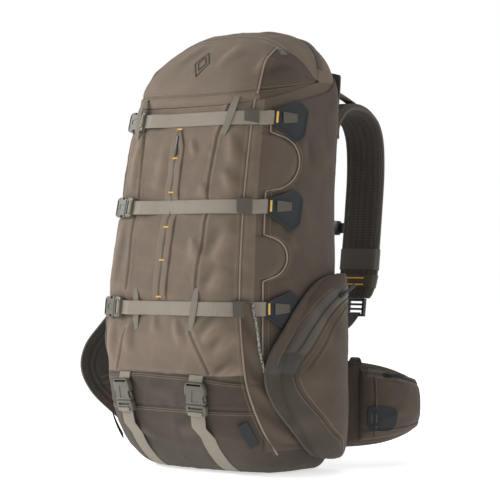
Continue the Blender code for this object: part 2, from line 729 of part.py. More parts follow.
def build_shoulder_strap(side_name, side):
    route = shoulder_route()
    rings = []
    last = len(route) - 1
    for k, p in enumerate(route):
        run = (route[min(k + 1, last)] - route[max(k - 1, 0)]).normalized()
        normal = Vector((0, -run.z, run.y))
        share = k / last
        half = SHOULDER_WIDTH / 2 * (0.80 + 0.20 * min(1.0, share / 0.3))
        if share > 0.9:
            half *= 1 - 0.35 * ((share - 0.9) / 0.1) ** 2
        thick = SHOULDER_THICKNESS / 2
        sway = SHOULDER_X - 0.010 * math.sin(math.pi * min(1.0, share / 0.45))
        ring = []
        for a, b in ((-1, -0.45), (-0.86, -1), (0.86, -1), (1, -0.45), (1, 0.45), (0.86, 1), (-0.86, 1),
                     (-1, 0.45)):
            offset = Vector((side * (sway + a * half), 0, 0)) + normal * (b * thick)
            ring.append(p + offset)
        rings.append(ring)
    verts, faces = loft(rings)
    add_mesh(f"shoulder_strap_{side_name}", verts, faces, CHARCOAL)

    tip = route[-1]
    run = (route[-1] - route[-2]).normalized()
    out = Vector((0, -run.z, run.y))
    if out.y < 0:
        out = -out
    across = Vector((side, 0, 0))
    frame = clip_frame(tip + Vector((side * SHOULDER_X, 0, 0)), run, out)
    lock = brick(f"ladder_lock_{side_name}", frame, (0.001, -0.0165, -0.003), (0.028, 0.0165, 0.003),
                 BLACK_PLASTIC)
    for k, (x0, x1) in enumerate(((0.005, 0.0085), (0.0115, 0.0155), (0.0185, 0.0245))):
        combine(lock, brick(f"ladder_slot_{side_name}_{k}", frame, (x0, -0.0130, -0.01), (x1, 0.0130, 0.01),
                        PLASTIC, cutter=True))

    web = 0.020
    last_point = frame @ Vector((0.0295, 0, 0))
    foot = back_point(side * 0.104, 0.172, PAD_OUT + 0.004)
    path = smooth_path([last_point, last_point.lerp(foot, 0.35) + Vector((0, 0, -0.004)),
                        last_point.lerp(foot, 0.7) + Vector((0, 0, -0.004)), foot], 3)
    stations = []
    for k, p in enumerate(path):
        step = (path[min(k + 1, len(path) - 1)] - path[max(k - 1, 0)]).normalized()
        stations.append((p, across, step.cross(across).normalized()))
    ribbon(f"shoulder_webbing_{side_name}", stations, web, WEB_THICKNESS, WEBBING)

    z_shares = [abs(p.z - STERNUM_Z) for p in route]
    near = z_shares.index(min(z_shares))
    along = (route[near - 2] - route[near + 2]).normalized()
    outward = Vector((0, along.z, -along.y))
    centre = route[near] + outward * (SHOULDER_THICKNESS / 2 + 0.0028)
    place = clip_frame(centre + Vector((side * (SHOULDER_X - 0.020), 0, 0)), Vector((-side, 0, 0)), outward)
    reach = SHOULDER_X - 0.020 - 0.010
    sternum = brick(f"sternum_strap_{side_name}", place, (-0.012, -STERNUM_WEB / 2, -0.0015),
                    (reach, STERNUM_WEB / 2, 0.0015), BLACK_PLASTIC)
    note_slide(sternum, along, STERNUM_TRAVEL)

    lifter_low = route[8] + Vector((side * 0.086, 0, 0))
    lifter_low += Vector((0, -0.2, 1)).normalized() * (SHOULDER_THICKNESS / 2 + 0.003)
    lifter_high = back_point(side * 0.086, 0.885 * BAG_HEIGHT, 0.008)
    run = (lifter_high - lifter_low).normalized()
    normal = run.cross(across).normalized()
    ribbon(f"load_lifter_{side_name}", [(lifter_low, across, normal), (lifter_high, across, normal)],
           0.018, WEB_THICKNESS, WEBBING)


# ---------------------------------------------------------------- hip belt

def belt_route():
    x0, y0 = BELT_ROOT
    points = [Vector((x0, y0, 0)), Vector((x0 + 0.030, y0 + 0.014, 0)), Vector((x0 + 0.054, y0 + 0.042, 0)),
              Vector((x0 + 0.062, y0 + 0.078, 0)), Vector((x0 + 0.058, y0 + 0.118, 0))]
    return smooth_path(points, 3)


def belt_station(share):
    """Point and outward normal in plan, low edge and high edge of a hip wing."""
    route = belt_route()
    place = share * (len(route) - 1)
    k = min(int(place), len(route) - 2)
    point = route[k].lerp(route[k + 1], place - k)
    run = (route[k + 1] - route[k]).normalized()
    out = Vector((run.y, -run.x, 0))
    ease = share * share
    low = BELT_ROOT_Z[0] + (BELT_TIP_Z[0] - BELT_ROOT_Z[0]) * ease
    high = BELT_ROOT_Z[1] + (BELT_TIP_Z[1] - BELT_ROOT_Z[1]) * ease
    return point, out, low, high


def build_hip_wing(side_name, side):
    def wing(u, v, out):
        point, normal, low, high = belt_station(u)
        place = point + normal * out
        return Vector((side * place.x, place.y, low + v * (high - low)))

    grid_solid(f"hip_wing_{side_name}", wing, 10, 4, -BELT_THICKNESS / 2, BELT_THICKNESS / 2, CHARCOAL)

    first, last = 0.30, 0.92
    base = BELT_THICKNESS / 2 + LAYER_GAP

    def pocket(u, v, out):
        share = first + u * (last - first)
        point, normal, low, high = belt_station(share)
        place = point + normal * out
        low, high = low + 0.006, high - 0.006
        return Vector((side * place.x, place.y, low + v * (high - low)))

    def outside(u, v):
        swell = math.sin(math.pi * min(1, max(0, u))) ** 0.5 * math.sin(math.pi * v) ** 0.4
        return base + 0.004 + HIP_POCKET_BULGE * swell

    grid_solid(f"hip_pocket_{side_name}", pocket, 8, 5, base, outside, TAUPE_DARK)

    start = pocket(0.25, 1, base + 0.012)
    end = pocket(0.75, 1, base + 0.012)
    along = (end - start).normalized()
    sag = max(0.0, max(pocket(u, 1, base + 0.012).z for u in (0.25, 0.5, 0.75)) - start.z) + 0.0022
    place = clip_frame(start + Vector((0, 0, sag)), along, along.cross(Vector((-along.y, along.x, 0))))
    if place.to_3x3()[2][2] < 0:
        place = clip_frame(start + Vector((0, 0, sag)), along, -along.cross(Vector((-along.y, along.x, 0))))
    slider = slider_block(f"hip_zip_slider_{side_name}", place)
    note_slide(slider, along, 0.9 * ((end - start).length - SLIDER_LENGTH))

    tip, out, low, high = belt_station(1.0)
    run = Vector((-out.y, out.x, 0))
    middle = (low + high) / 2
    ahead = [tip + run * 0.0006, tip + run * 0.020 - out * 0.006, tip + run * 0.034 - out * 0.022,
             tip + run * 0.038 - out * 0.044]
    path = smooth_path([Vector((side * p.x, p.y, middle)) for p in ahead], 3)
    stations = []
    for k, p in enumerate(path):
        step = (path[min(k + 1, len(path) - 1)] - path[max(k - 1, 0)]).normalized()
        stations.append((p, Vector((0, 0, 1)), step.cross(Vector((0, 0, 1))).normalized()))
    ribbon(f"hip_webbing_{side_name}", stations, HIP_WEB, WEB_THICKNESS * 1.4, WEBBING)
    step = (path[-1] - path[-2]).normalized()
    outward = step.cross(Vector((0, 0, 1))).normalized()
    return clip_frame(path[-1] + step * 0.0006, step, outward)


def build_hip_buckle(place, kind):
    """Half of the belt's large clip, on the end of its webbing."""
    half = HIP_WEB / 2 + 0.004
    if kind == "socket":
        socket = brick("hip_buckle_socket", place, (0, -half, -0.006), (0.044, half, 0.006), BLACK_PLASTIC)
        combine(socket, brick("hip_socket_mouth", place, (0.014, -half + 0.003, -0.0038),
                          (0.060, half - 0.003, 0.0038), PLASTIC, cutter=True))
        return
    clip = brick("hip_buckle_clip", place, (0, -half, -0.006), (0.014, half, 0.006), BLACK_PLASTIC)
    for k, y in enumerate((-half + 0.0035, -0.003, half - 0.0095)):
        prong = brick(f"hip_prong_{k}", place, (0.010, y, -0.0032), (0.040, y + 0.006, 0.0032), PLASTIC,
                      cutter=True)
        combine(clip, prong, "UNION")


# ---------------------------------------------------------------- assembly

def build_backpack():
    clear_scene()
    build_bag()
    for side_name, side in (("right", 1), ("left", -1)):
        build_side_panel(f"side_panel_{side_name}", side)
        for row in STRAP_ROWS:
            build_patch(f"anchor_patch_{side_name}_{row}", row, side)
    for row in STRAP_ROWS:
        build_compression(row)
    for side_name, side in (("right", 1), ("left", -1)):
        build_lash(side_name, side)
    build_front_zip()
    build_side_pocket("right", 1, 0.0)
    build_side_pocket("left", -1, POCKET_FLARE)
    build_back()
    for side_name, side in (("right", 1), ("left", -1)):
        build_shoulder_strap(side_name, side)
        place = build_hip_wing(side_name, side)
        build_hip_buckle(place, "clip" if side > 0 else "socket")


build_backpack()
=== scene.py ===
"""Looks of a hunting backpack: fabric skins, straps, clips, zips and harness over its CAD frame.

Frame: +Z up, -Y is the front of the pack, +Y faces the wearer's back, +X is the wearer's right.
Sizes are in metres and angles in degrees. Angles round the bag start at +X and pass -90 at the front.
"""
import json
import math

import bpy
import numpy as np
from bpy.props import FloatProperty, FloatVectorProperty, PointerProperty
from mathutils import Matrix, Vector

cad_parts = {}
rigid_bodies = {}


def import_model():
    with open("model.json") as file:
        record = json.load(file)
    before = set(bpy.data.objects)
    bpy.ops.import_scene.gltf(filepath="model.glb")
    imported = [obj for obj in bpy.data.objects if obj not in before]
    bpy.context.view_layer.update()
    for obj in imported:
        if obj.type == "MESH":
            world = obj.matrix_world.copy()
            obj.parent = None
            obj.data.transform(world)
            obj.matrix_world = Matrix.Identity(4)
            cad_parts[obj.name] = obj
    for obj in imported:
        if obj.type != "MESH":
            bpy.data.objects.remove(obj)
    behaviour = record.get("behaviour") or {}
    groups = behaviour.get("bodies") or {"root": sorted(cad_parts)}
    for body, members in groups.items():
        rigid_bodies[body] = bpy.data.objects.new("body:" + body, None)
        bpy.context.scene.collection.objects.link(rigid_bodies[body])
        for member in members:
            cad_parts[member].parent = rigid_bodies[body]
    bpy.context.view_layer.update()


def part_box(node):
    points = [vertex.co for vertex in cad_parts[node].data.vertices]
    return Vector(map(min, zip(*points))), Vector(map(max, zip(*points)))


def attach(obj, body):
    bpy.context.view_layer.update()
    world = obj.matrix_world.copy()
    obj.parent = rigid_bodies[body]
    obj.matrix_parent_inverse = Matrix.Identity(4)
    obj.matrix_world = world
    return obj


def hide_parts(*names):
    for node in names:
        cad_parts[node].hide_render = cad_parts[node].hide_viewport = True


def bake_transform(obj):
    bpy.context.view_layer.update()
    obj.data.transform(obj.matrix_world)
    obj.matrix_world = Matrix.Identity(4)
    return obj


bl_info = {
    "name": "Hunting Backpack",
    "version": (1, 0, 0),
    "blender": (4, 5, 0),
    "location": "View3D > Sidebar > Backpack",
    "description": "Builds the looks of a hunting backpack around its CAD frame",
    "category": "Add Mesh",
}

# The bag, as the CAD part has it
BAG_HEIGHT = 0.634
BAG_DEPTH = 0.213
BAG_WIDTH = 0.304
STATIONS = (  # height, front, back and half width, as shares of height, depth, depth and width
    (0.000, -0.225, 0.270, 0.737), (0.0095, -0.329, 0.310, 0.829), (0.0315, -0.432, 0.340, 0.895),
    (0.079, -0.554, 0.352, 0.954), (0.158, -0.653, 0.355, 0.987), (0.284, -0.690, 0.352, 1.000),
    (0.410, -0.667, 0.352, 0.993), (0.500, -0.620, 0.352, 0.987), (0.631, -0.549, 0.370, 0.961),
    (0.789, -0.455, 0.425, 0.934), (0.860, -0.390, 0.450, 0.908), (0.923, -0.282, 0.452, 0.829),
    (0.965, -0.141, 0.420, 0.684), (0.989, -0.014, 0.362, 0.487), (1.000, 0.117, 0.262, 0.197))
SPAN_STEPS = 12
CENTRE_SHARE = 0.24
GAP = 0.0005
LAYER_GAP = 0.0017
PANEL_CLEAR = 0.0036
PANEL_THICKNESS = 0.0024
PATCH_THICKNESS = 0.002
BASE_THICKNESS = 0.003
CLOTH_WALL = 0.0022
CLOTH_STANDOFF = 0.0002
RELIEF_CAP = 0.0090
TOOTH_HEIGHT = 0.0010

RIM_Z = 0.8225 * BAG_HEIGHT
RIM_SLOPE = 0.28
CROWN_ZIP_Y = 0.040
ZIP_LEAN = 0.4
HINGE_STANDOFF = 0.0015

ROWS = {"upper": 0.793 * BAG_HEIGHT, "middle": 0.596 * BAG_HEIGHT, "lower": 0.371 * BAG_HEIGHT}
COMPRESSION_WEB = 0.020
LASH_WEB = 0.025
WEB_THICKNESS = 0.0014
STRAP_LIFT = 0.0024
CLIP_TRAVEL = 0.016
CLIP_X = -0.088
LASH_X = 0.070
LASH_Z = 0.104
SIDES = (("right", 1), ("left", -1))
UP = (0.0, 0.0, 1.0)


# ---------------------------------------------------------------- sizes and colours

def length(label, description, value):
    """A length property, in metres."""
    return FloatProperty(name=label, description=description, default=value, unit="LENGTH")


def colour(label, description, value):
    """A colour property."""
    return FloatVectorProperty(name=label, description=description, subtype="COLOR", size=3,
                               min=0.0, max=1.0, default=value)


class PackSizes(bpy.types.PropertyGroup):
    """Sizes of the sewn and moulded details."""

    stitch_pitch: length("Stitch pitch", "Distance from one stitch to the next", 0.0034)
    stitch_length: length("Stitch length", "Visible length of one stitch", 0.0024)
    thread: length("Thread", "Thickness of the sewing thread", 0.0007)
    piping: length("Piping", "Radius of the piping along the seams", 0.0013)
    pillow: length("Pillow", "How far the filled bag stands out between its straps", 0.0052)
    crease: length("Crease", "Height of the cloth's hand-placed folds", 0.0034)
    wrinkle: length("Wrinkle", "Height of the cloth's fine wrinkles", 0.0010)
    tooth_pitch: length("Tooth pitch", "Distance from one zip tooth to the next", 0.0016)


class PackColours(bpy.types.PropertyGroup):
    """Colours of the materials, linear."""

    shell: colour("Shell", "Brushed cloth of the front and crown", (0.172, 0.128, 0.092))
    # Side is the shell's cloth darkened: painted shade on the cloth of the sides, pockets, back and harness.
    side: colour("Side", "Brushed cloth of the sides and pockets", (0.080, 0.058, 0.040))
    # The shell's cloth half darkened: painted half shade on the bag's right side, between the front and the
    # side panel.
    gore: colour("Gore", "Cloth between the front and the side panels", (0.108, 0.080, 0.057))
    # Base is the foot's darker coated cloth, darkened further to paint the shade along the bag's underside.
    base: colour("Base", "Cloth of the bag's foot", (0.062, 0.047, 0.033))
    lining: colour("Lining", "Cloth inside the bag and pockets", (0.050, 0.042, 0.034))
    webbing: colour("Webbing", "Straps", (0.265, 0.232, 0.184))
    ribbon: colour("Ribbon", "Ribbons over the straps", (0.190, 0.168, 0.132))
    dark_webbing: colour("Dark webbing", "Keepers, binding and belt straps", (0.095, 0.083, 0.064))
    zip: colour("Zip", "Coated zip tape", (0.088, 0.073, 0.058))
    coil: colour("Coil", "Zip coil", (0.045, 0.038, 0.030))
    coated: colour("Coated", "Coated patch at the pocket zip's end", (0.052, 0.044, 0.036))
    foot_band: colour("Foot band", "Cloth of the pockets' lower bands", (0.056, 0.043, 0.031))
    plastic: colour("Plastic", "Clips of the front straps", (0.105, 0.098, 0.075))
    black: colour("Black plastic", "Buckles and pulls", (0.012, 0.012, 0.012))
    rubber: colour("Rubber", "Anchor patches and tabs", (0.0085, 0.0105, 0.0135))
    spacer: colour("Spacer mesh", "Padding against the wearer", (0.072, 0.060, 0.050))
    accent: colour("Accent", "Bar-tack thread", (0.84, 0.53, 0.095))
    thread: colour("Thread", "Sewing thread and piping", (0.300, 0.235, 0.180))
    fleck: colour("Fleck", "Pale flecks of the cord edging", (0.50, 0.48, 0.44))
    metal: colour("Metal", "Frame stays", (0.60, 0.61, 0.62))


def sizes():
    return bpy.context.scene.pack_sizes


def shade(name):
    return tuple(getattr(bpy.context.scene.pack_colours, name))


# ---------------------------------------------------------------- materials

def sum_of(operation, swap=False):
    """A method of Val that adds one Math node."""
    return lambda self, other=0.5: self.maths(operation, other, swap)


class Val:
    """A node's output that takes part in arithmetic."""

    __add__ = __radd__ = sum_of("ADD")
    __mul__ = __rmul__ = sum_of("MULTIPLY")
    __sub__, __rsub__ = sum_of("SUBTRACT"), sum_of("SUBTRACT", True)
    __gt__, power = sum_of("GREATER_THAN"), sum_of("POWER")
    sine = sum_of("SINE")

    def __init__(self, shop, socket):
        self.shop, self.socket = shop, socket

    def maths(self, operation, other, swap):
        pair = (other, self) if swap else (self, other)
        return self.shop.node("ShaderNodeMath", {0: pair[0], 1: pair[1]}, operation=operation)

    def held(self):
        return self.shop.node("ShaderNodeClamp", {0: self})


class Shop:
    """One procedural material being made."""

    def __init__(self, name, roughness, metallic=0.0):
        self.material = bpy.data.materials.new(name)
        self.material.use_nodes = True
        self.tree = self.material.node_tree
        self.shader = self.tree.nodes["Principled BSDF"]
        self.shader.inputs["Roughness"].default_value = roughness
        self.shader.inputs["Metallic"].default_value = metallic

    def node(self, kind, inputs=(), out=0, **settings):
        made = self.tree.nodes.new(kind)
        for key, value in settings.items():
            setattr(made, key, value)
        for key, value in dict(inputs).items():
            self.feed(made.inputs[key], value)
        return Val(self, made.outputs[out])

    def feed(self, socket, value):
        if isinstance(value, Val):
            self.tree.links.new(value.socket, socket)
        else:
            socket.default_value = value

    def place(self):
        return self.node("ShaderNodeTexCoord", out="Object")

    def cloth_axes(self):
        split = self.node("ShaderNodeSeparateXYZ", {0: self.node("ShaderNodeUVMap", uv_map="metres")})
        return split, Val(self, split.socket.node.outputs[1])

    def noise(self, where, scale, detail=2.0):
        return self.node("ShaderNodeTexNoise", {"Vector": where, "Scale": scale, "Detail": detail})

    # Painted light and shade stored on the pieces: paler on ridges and folds, darker in seams, grooves and
    # rolled edges.
    def tone(self):
        return self.node("ShaderNodeAttribute", out="Fac", attribute_name="tone")

    def tint(self, rgb, factor):
        return self.node("ShaderNodeVectorMath", {0: rgb, 3: factor}, operation="SCALE")

    def mix(self, factor, one, two):
        one, two = ((*c, 1.0) if isinstance(c, tuple) else c for c in (one, two))
        return self.node("ShaderNodeMix", {0: factor, 6: one, 7: two}, 2, data_type="RGBA")

    def finish(self, base, bump=None, height=0.0002, strength=1.0):
        self.feed(self.shader.inputs["Base Color"], base)
        if bump is not None:
            normal = self.node("ShaderNodeBump", {"Strength": strength, "Distance": height, "Height": bump})
            self.feed(self.shader.inputs["Normal"], normal)
        return self.material


def cloth(name, rgb, pitch=0.0011, roughness=0.86):
    """Brushed woven cloth: a fine twill with soft mottling, with a painted highlight on its folds and painted
    shade in its seams.
    """
    shop = Shop(name, roughness)
    shop.shader.inputs["Sheen Weight"].default_value = 0.05
    shop.shader.inputs["Sheen Roughness"].default_value = 0.55
    where = shop.place()
    along, across = shop.cloth_axes()
    turn = 2 * math.pi / pitch
    twill = ((along + across) * turn).sine() * 0.5 + ((along - across) * turn).sine() * 0.5
    fuzz = shop.noise(where, 2600.0, 1.0)
    cloud = shop.noise(where, 14.0, 3.0)
    mottle = shop.noise(where, 90.0, 3.0)
    factor = (1.0 + (cloud - 0.5) * 0.16 + (mottle - 0.5) * 0.14 + (fuzz - 0.5) * 0.22 + twill * 0.035
              + shop.tone() * 0.30)
    return shop.finish(shop.tint(rgb, factor), twill * 0.35 + fuzz + mottle * 0.8, 0.00022)


def belt(name, rgb):
    """Woven strap: ribs across it, a finer yarn along it and firm edges."""
    shop = Shop(name, 0.72)
    along, across = shop.cloth_axes()
    rib = (along * (2 * math.pi / 0.0021)).sine()
    yarn = (across * (2 * math.pi / 0.0016) + (along * (math.pi / 0.0021)).sine() * 1.2).sine()
    fuzz = shop.noise(shop.place(), 1900.0, 1.0)
    wear = shop.noise(shop.place(), 40.0, 3.0)
    # The stored shading adds painted light and shade to the strap's colour.
    factor = 1.0 + rib * 0.06 + yarn * 0.05 + (fuzz - 0.5) * 0.25 + (wear - 0.5) * 0.16 + shop.tone() * 0.30
    return shop.finish(shop.tint(rgb, factor), rib * 0.5 + yarn * 0.4 + fuzz * 0.4, 0.0003)


def moulded(name, rgb, roughness=0.42):
    """Injection-moulded plastic with a fine grain."""
    shop = Shop(name, roughness)
    grain = shop.noise(shop.place(), 1400.0, 1.0)
    scuff = shop.noise(shop.place(), 60.0, 4.0)
    shop.feed(shop.shader.inputs["Roughness"], (roughness + (scuff - 0.5) * 0.22).held())
    return shop.finish(shop.tint(rgb, 1.0 + (scuff - 0.5) * 0.22), grain, 0.00006, 0.7)


def rubbery(name, rgb):
    """Matt rubber-coated cloth."""
    shop = Shop(name, 0.62)
    grain = shop.noise(shop.place(), 900.0, 2.0)
    cloud = shop.noise(shop.place(), 35.0, 3.0)
    # The stored shading adds strong painted light and shade: lighter on raised rims, darker in the step
    # inside them.
    return shop.finish(shop.tint(rgb, 1.0 + (cloud - 0.5) * 0.4 + shop.tone() * 0.9), grain, 0.00010)


def coated_tape(name, rgb):
    """Smooth coated zip tape."""
    shop = Shop(name, 0.50)
    fuzz = shop.noise(shop.place(), 700.0, 2.0)
    cloud = shop.noise(shop.place(), 30.0, 3.0)
    # The stored shading adds painted light on folds and painted shade in seams.
    factor = 1.0 + (cloud - 0.5) * 0.18 + (fuzz - 0.5) * 0.08 + shop.tone() * 0.35
    return shop.finish(shop.tint(rgb, factor), fuzz, 0.00008)


def threads(name, rgb):
    """Sewing thread."""
    shop = Shop(name, 0.60)
    twist = shop.noise(shop.place(), 1500.0, 1.0)
    return shop.finish(shop.tint(rgb, 1.0 + (twist - 0.5) * 0.35), twist, 0.00008)


def spacer_mesh(name, rgb):
    """Knitted spacer mesh: rows of small round holes."""
    shop = Shop(name, 0.88)
    along, across = shop.cloth_axes()
    turn = 2 * math.pi / 0.0036
    cells = (along * turn).sine() * (across * turn).sine()
    hole = (cells * 1.6).power(2.0).held()
    fuzz = shop.noise(shop.place(), 1200.0, 1.0)
    ribs = (across * (2 * math.pi / 0.011)).sine()
    # The stored shading adds painted shade in the pads' channels and along their edges.
    factor = (0.55 + hole * 0.85 + (fuzz - 0.5) * 0.3 + ribs * 0.10) + shop.tone() * 0.25
    return shop.finish(shop.tint(rgb, factor), hole + fuzz * 0.4 + ribs * 0.8, 0.0007)


def flecked_cord(name, rgb, fleck):
    """Dark cord edging with pale flecks."""
    shop = Shop(name, 0.65)
    spots = shop.noise(shop.place(), 900.0, 1.0)
    return shop.finish(shop.mix((spots > 0.53) * 1.0, rgb, fleck), spots, 0.0003)


def brushed_metal(name, rgb):
    """Brushed aluminium."""
    shop = Shop(name, 0.32, 1.0)
    grain = shop.noise(shop.place(), 300.0, 3.0)
    shop.feed(shop.shader.inputs["Roughness"], 0.26 + grain * 0.16)
    return shop.finish(shop.tint(rgb, 0.94 + grain * 0.12))


FINISHES = {  # how each is made, its colours and what else the maker needs
    "shell": (cloth, "shell"), "side": (cloth, "side"), "base": (cloth, "base", 0.0014),
    "lining": (cloth, "lining", 0.0014, 0.7), "webbing": (belt, "webbing"), "ribbon": (belt, "ribbon"),
    # trim gives piping the pale thread colour: a painted highlight along the corner, crown and side-panel
    # seams.
    "trim": (cloth, "thread"), "dark_webbing": (belt, "dark_webbing"), "zip": (coated_tape, "zip"),
    "coil": (moulded, "coil", 0.5), "coated": (coated_tape, "coated"), "gore": (cloth, "gore"),
    "base_side": (cloth, "foot_band"), "plastic": (moulded, "plastic"), "black": (moulded, "black", 0.38),
    "rubber": (rubbery, "rubber"), "spacer": (spacer_mesh, "spacer"), "accent": (threads, "accent"),
    "thread": (threads, "thread"), "fleck": (flecked_cord, "black", "fleck"),
    "metal": (brushed_metal, "metal"),
}


def finish(name):
    """The material of that name, made once."""
    full = f"pack_{name}"
    maker, *given = FINISHES[name]
    values = [shade(value) if isinstance(value, str) else value for value in given]
    return bpy.data.materials.get(full) or maker(full, *values)


# ---------------------------------------------------------------- the bag's outer surface

def unit(v):
    return v / np.maximum(np.linalg.norm(v, axis=-1, keepdims=True), 1e-12)


def spline(points, steps):
    """A Catmull-Rom curve through points, with steps points to each span."""
    p = np.asarray(points, float)
    p = np.vstack([p[:1], p, p[-1:]])
    t = (np.arange(steps) / steps)[:, None]
    spans = [0.5 * (2 * b + (c - a) * t + (2 * a - 5 * b + 4 * c - d) * t ** 2
                    + (3 * b - a - 3 * c + d) * t ** 3)
             for a, b, c, d in zip(p, p[1:], p[2:], p[3:])]
    return np.vstack(spans + [p[-1:]])


def travel(points):
    """How far along a line each of its points is."""
    return np.concatenate([[0], np.cumsum(np.linalg.norm(np.diff(points, axis=0), axis=1))])


def run_of(points):
    """Unit direction of a line at each of its points."""
    return unit(np.gradient(points, axis=0))


def beside(points, normals):
    """Unit direction across a line that lies on a surface with these normals."""
    return unit(np.cross(normals, run_of(points)))


def bell(distance, width):
    return np.exp(-(distance / width) ** 2)


def rolled_off(edge, radius):
    """Rises from 0 at an edge to 1 at radius from it, as a quarter circle does."""
    return np.sqrt(1 - (1 - np.clip(edge / radius, 0, 1)) ** 2)


def squared_off(wave, power):
    """A sine or cosine pushed towards -1 and 1, for a box with round corners."""
    return np.sign(wave) * np.abs(wave) ** power


def smooth(low, high, value):
    share = np.clip((np.asarray(value, float) - low) / (high - low), 0, 1)
    return share * share * (3 - 2 * share)


PROFILE = spline(np.array(STATIONS) * (BAG_HEIGHT, BAG_DEPTH, BAG_DEPTH, BAG_WIDTH / 2), SPAN_STEPS)


def level(z):
    """Front y, back y and half width of the bag at height z."""
    return [np.interp(z, PROFILE[:, 0], PROFILE[:, k]) for k in (1, 2, 3)]


def corner_powers(z):
    ease = smooth(0.8, 1.0, z / BAG_HEIGHT)
    return 4.1 - 1.6 * ease, 6.0 - 3.2 * ease


def surface(angle, z):
    """The bag's outer surface at an angle and a height, both arrays."""
    angle, z = np.broadcast_arrays(np.asarray(angle, float), np.asarray(z, float))
    front, back, half = level(z)
    centre = back - CENTRE_SHARE * (back - front)
    c, s = np.cos(np.radians(angle)), np.sin(np.radians(angle))
    power_front, power_back = corner_powers(z)
    power = np.where(s < 0, power_front, power_back)
    reach = np.where(s < 0, centre - front, back - centre)
    radius = ((np.abs(c) / half) ** power + (np.abs(s) / reach) ** power) ** (-1 / power)
    return np.stack([radius * c, centre + radius * s, z], -1)


def outward(angle, z):
    around = surface(np.asarray(angle) + 0.5, z) - surface(np.asarray(angle) - 0.5, z)
    up = surface(angle, np.minimum(np.asarray(z) + 0.002, BAG_HEIGHT)) - surface(
        angle, np.maximum(np.asarray(z) - 0.002, 0.0))
    return unit(np.cross(around, up))


def on_bag(angle, z, out=0.0):
    return surface(angle, z) + outward(angle, z) * np.asarray(out, float)[..., None]


def angle_at(x, z):
    """The angle at which the bag's front reaches x at height z."""
    x, z = np.broadcast_arrays(np.asarray(x, float), np.asarray(z, float))
    low, high = np.full(x.shape, -178.0), np.full(x.shape, -2.0)
    for _ in range(40):
        middle = (low + high) / 2
        short = surface(middle, z)[..., 0] < x
        low, high = np.where(short, middle, low), np.where(short, high, middle)
    return (low + high) / 2


def back_point(x, z, out=0.0):
    front, back, half = level(z)
    power = corner_powers(z)[1]
    reach = CENTRE_SHARE * (back - front)
    share = np.maximum(0.0, 1 - (np.abs(x) / half) ** power)
    return np.stack(np.broadcast_arrays(x, back - reach + reach * share ** (1 / power) + out, z), -1)


HINGE_Y = float(surface(-90, RIM_Z)[1]) - HINGE_STANDOFF
ZIP_FOOT_Z = RIM_Z + RIM_SLOPE * (CROWN_ZIP_Y - HINGE_Y)
GIRTH_Z = 0.30
GIRTH_ANGLES = np.linspace(-270, 270, 1081)
GIRTH = surface(GIRTH_ANGLES, GIRTH_Z)
GIRTH_ARC = travel(GIRTH) - np.interp(-90, GIRTH_ANGLES, travel(GIRTH))


def arc(angle):
    """Distance round the bag from the middle of its front, to the wearer's right."""
    return np.interp(angle, GIRTH_ANGLES, GIRTH_ARC)


def angle_of(distance):
    return np.interp(distance, GIRTH_ARC, GIRTH_ANGLES)


def cloth_uv(angle, z):
    return np.stack([arc(angle), z], -1)


def painted_shading_of(marks):
    """Painted highlight on a fold and painted shade in a seam, from its height."""
    return np.clip(marks / 0.0022, -1, 0.8)


def body_top(angle):
    """Height of the main bag's upper edge: the crown's rim in front, and the zip's foot behind it."""
    z = np.full(np.shape(angle), RIM_Z)
    for _ in range(14):
        y = surface(angle, z)[..., 1]
        z = RIM_Z + RIM_SLOPE * (np.minimum(y, CROWN_ZIP_Y) - HINGE_Y)
    return z


# ---------------------------------------------------------------- folds

def from_line(p, q, line):
    """Signed distance of the points (p, q) from an open line, and how far along it each is."""
    line = np.asarray(line, float)
    lengths = np.linalg.norm(np.diff(line, axis=0), axis=1)
    best, share = np.full(np.shape(p), 1e9), np.zeros(np.shape(p))
    done = 0.0
    for start, stop, length in zip(line, line[1:], lengths):
        run = (stop - start) / length
        t = np.clip((p - start[0]) * run[0] + (q - start[1]) * run[1], 0, length)
        dp, dq = p - start[0] - run[0] * t, q - start[1] - run[1] * t
        distance = np.hypot(dp, dq)
        side = np.where(run[0] * dq - run[1] * dp >= 0, 1.0, -1.0)
        closer = distance < np.abs(best)
        best = np.where(closer, distance * side, best)
        share = np.where(closer, (done + t) / lengths.sum(), share)
        done += length
    return best, share


def seam(p, q, line, width=0.0022, depth=0.0016, shoulder=0.0006):
    """A sewn seam: a narrow groove between two slightly puckered shoulders."""
    d, share = from_line(p, q, line)
    pucker = 1 + 0.35 * np.sin(share * 95) + 0.25 * np.sin(share * 41 + 1.3)
    return shoulder * pucker * bell(np.abs(d) - 2.2 * width, 1.6 * width) - depth * bell(d, width)


def fold(p, q, line, width, height):
    """A soft fold that dies out at both ends, steeper on one side."""
    d, share = from_line(p, q, line)
    ends = np.sin(np.pi * np.clip(share, 0, 1)) ** 0.8
    width = width * (0.7 + 0.6 * share)
    return height * ends * (bell(d, width) - 0.55 * bell(d - 1.7 * width, 1.1 * width))


def wrinkles(points, seed, wave, height):
    """Fine ridged wrinkles from a few seeded waves."""
    rng = np.random.default_rng(seed)
    total = np.zeros(points.shape[:-1])
    for k in range(5):
        aim = unit(rng.normal(size=3)) * 2 * np.pi / (wave * rng.uniform(0.6, 1.6))
        bend = unit(rng.normal(size=3)) * 2 * np.pi / (wave * 3)
        phase = points @ aim + 1.5 * np.sin(points @ bend + k)
        total += (1 - np.abs(np.sin(phase / 2))) ** 2 - 0.35
    return total * height / 2.2


# ---------------------------------------------------------------- meshes and pieces

def grid_lengths(points):
    """Distances along the middle row and the middle column of a grid, as UV in metres."""
    rows, columns = points.shape[:2]
    return np.stack(np.meshgrid(travel(points[rows // 2]), travel(points[:, columns // 2])), -1)


def normals_of(points):
    """Unit normals of a grid, columns crossed with rows."""
    return unit(np.cross(np.gradient(points, axis=1), np.gradient(points, axis=0)))


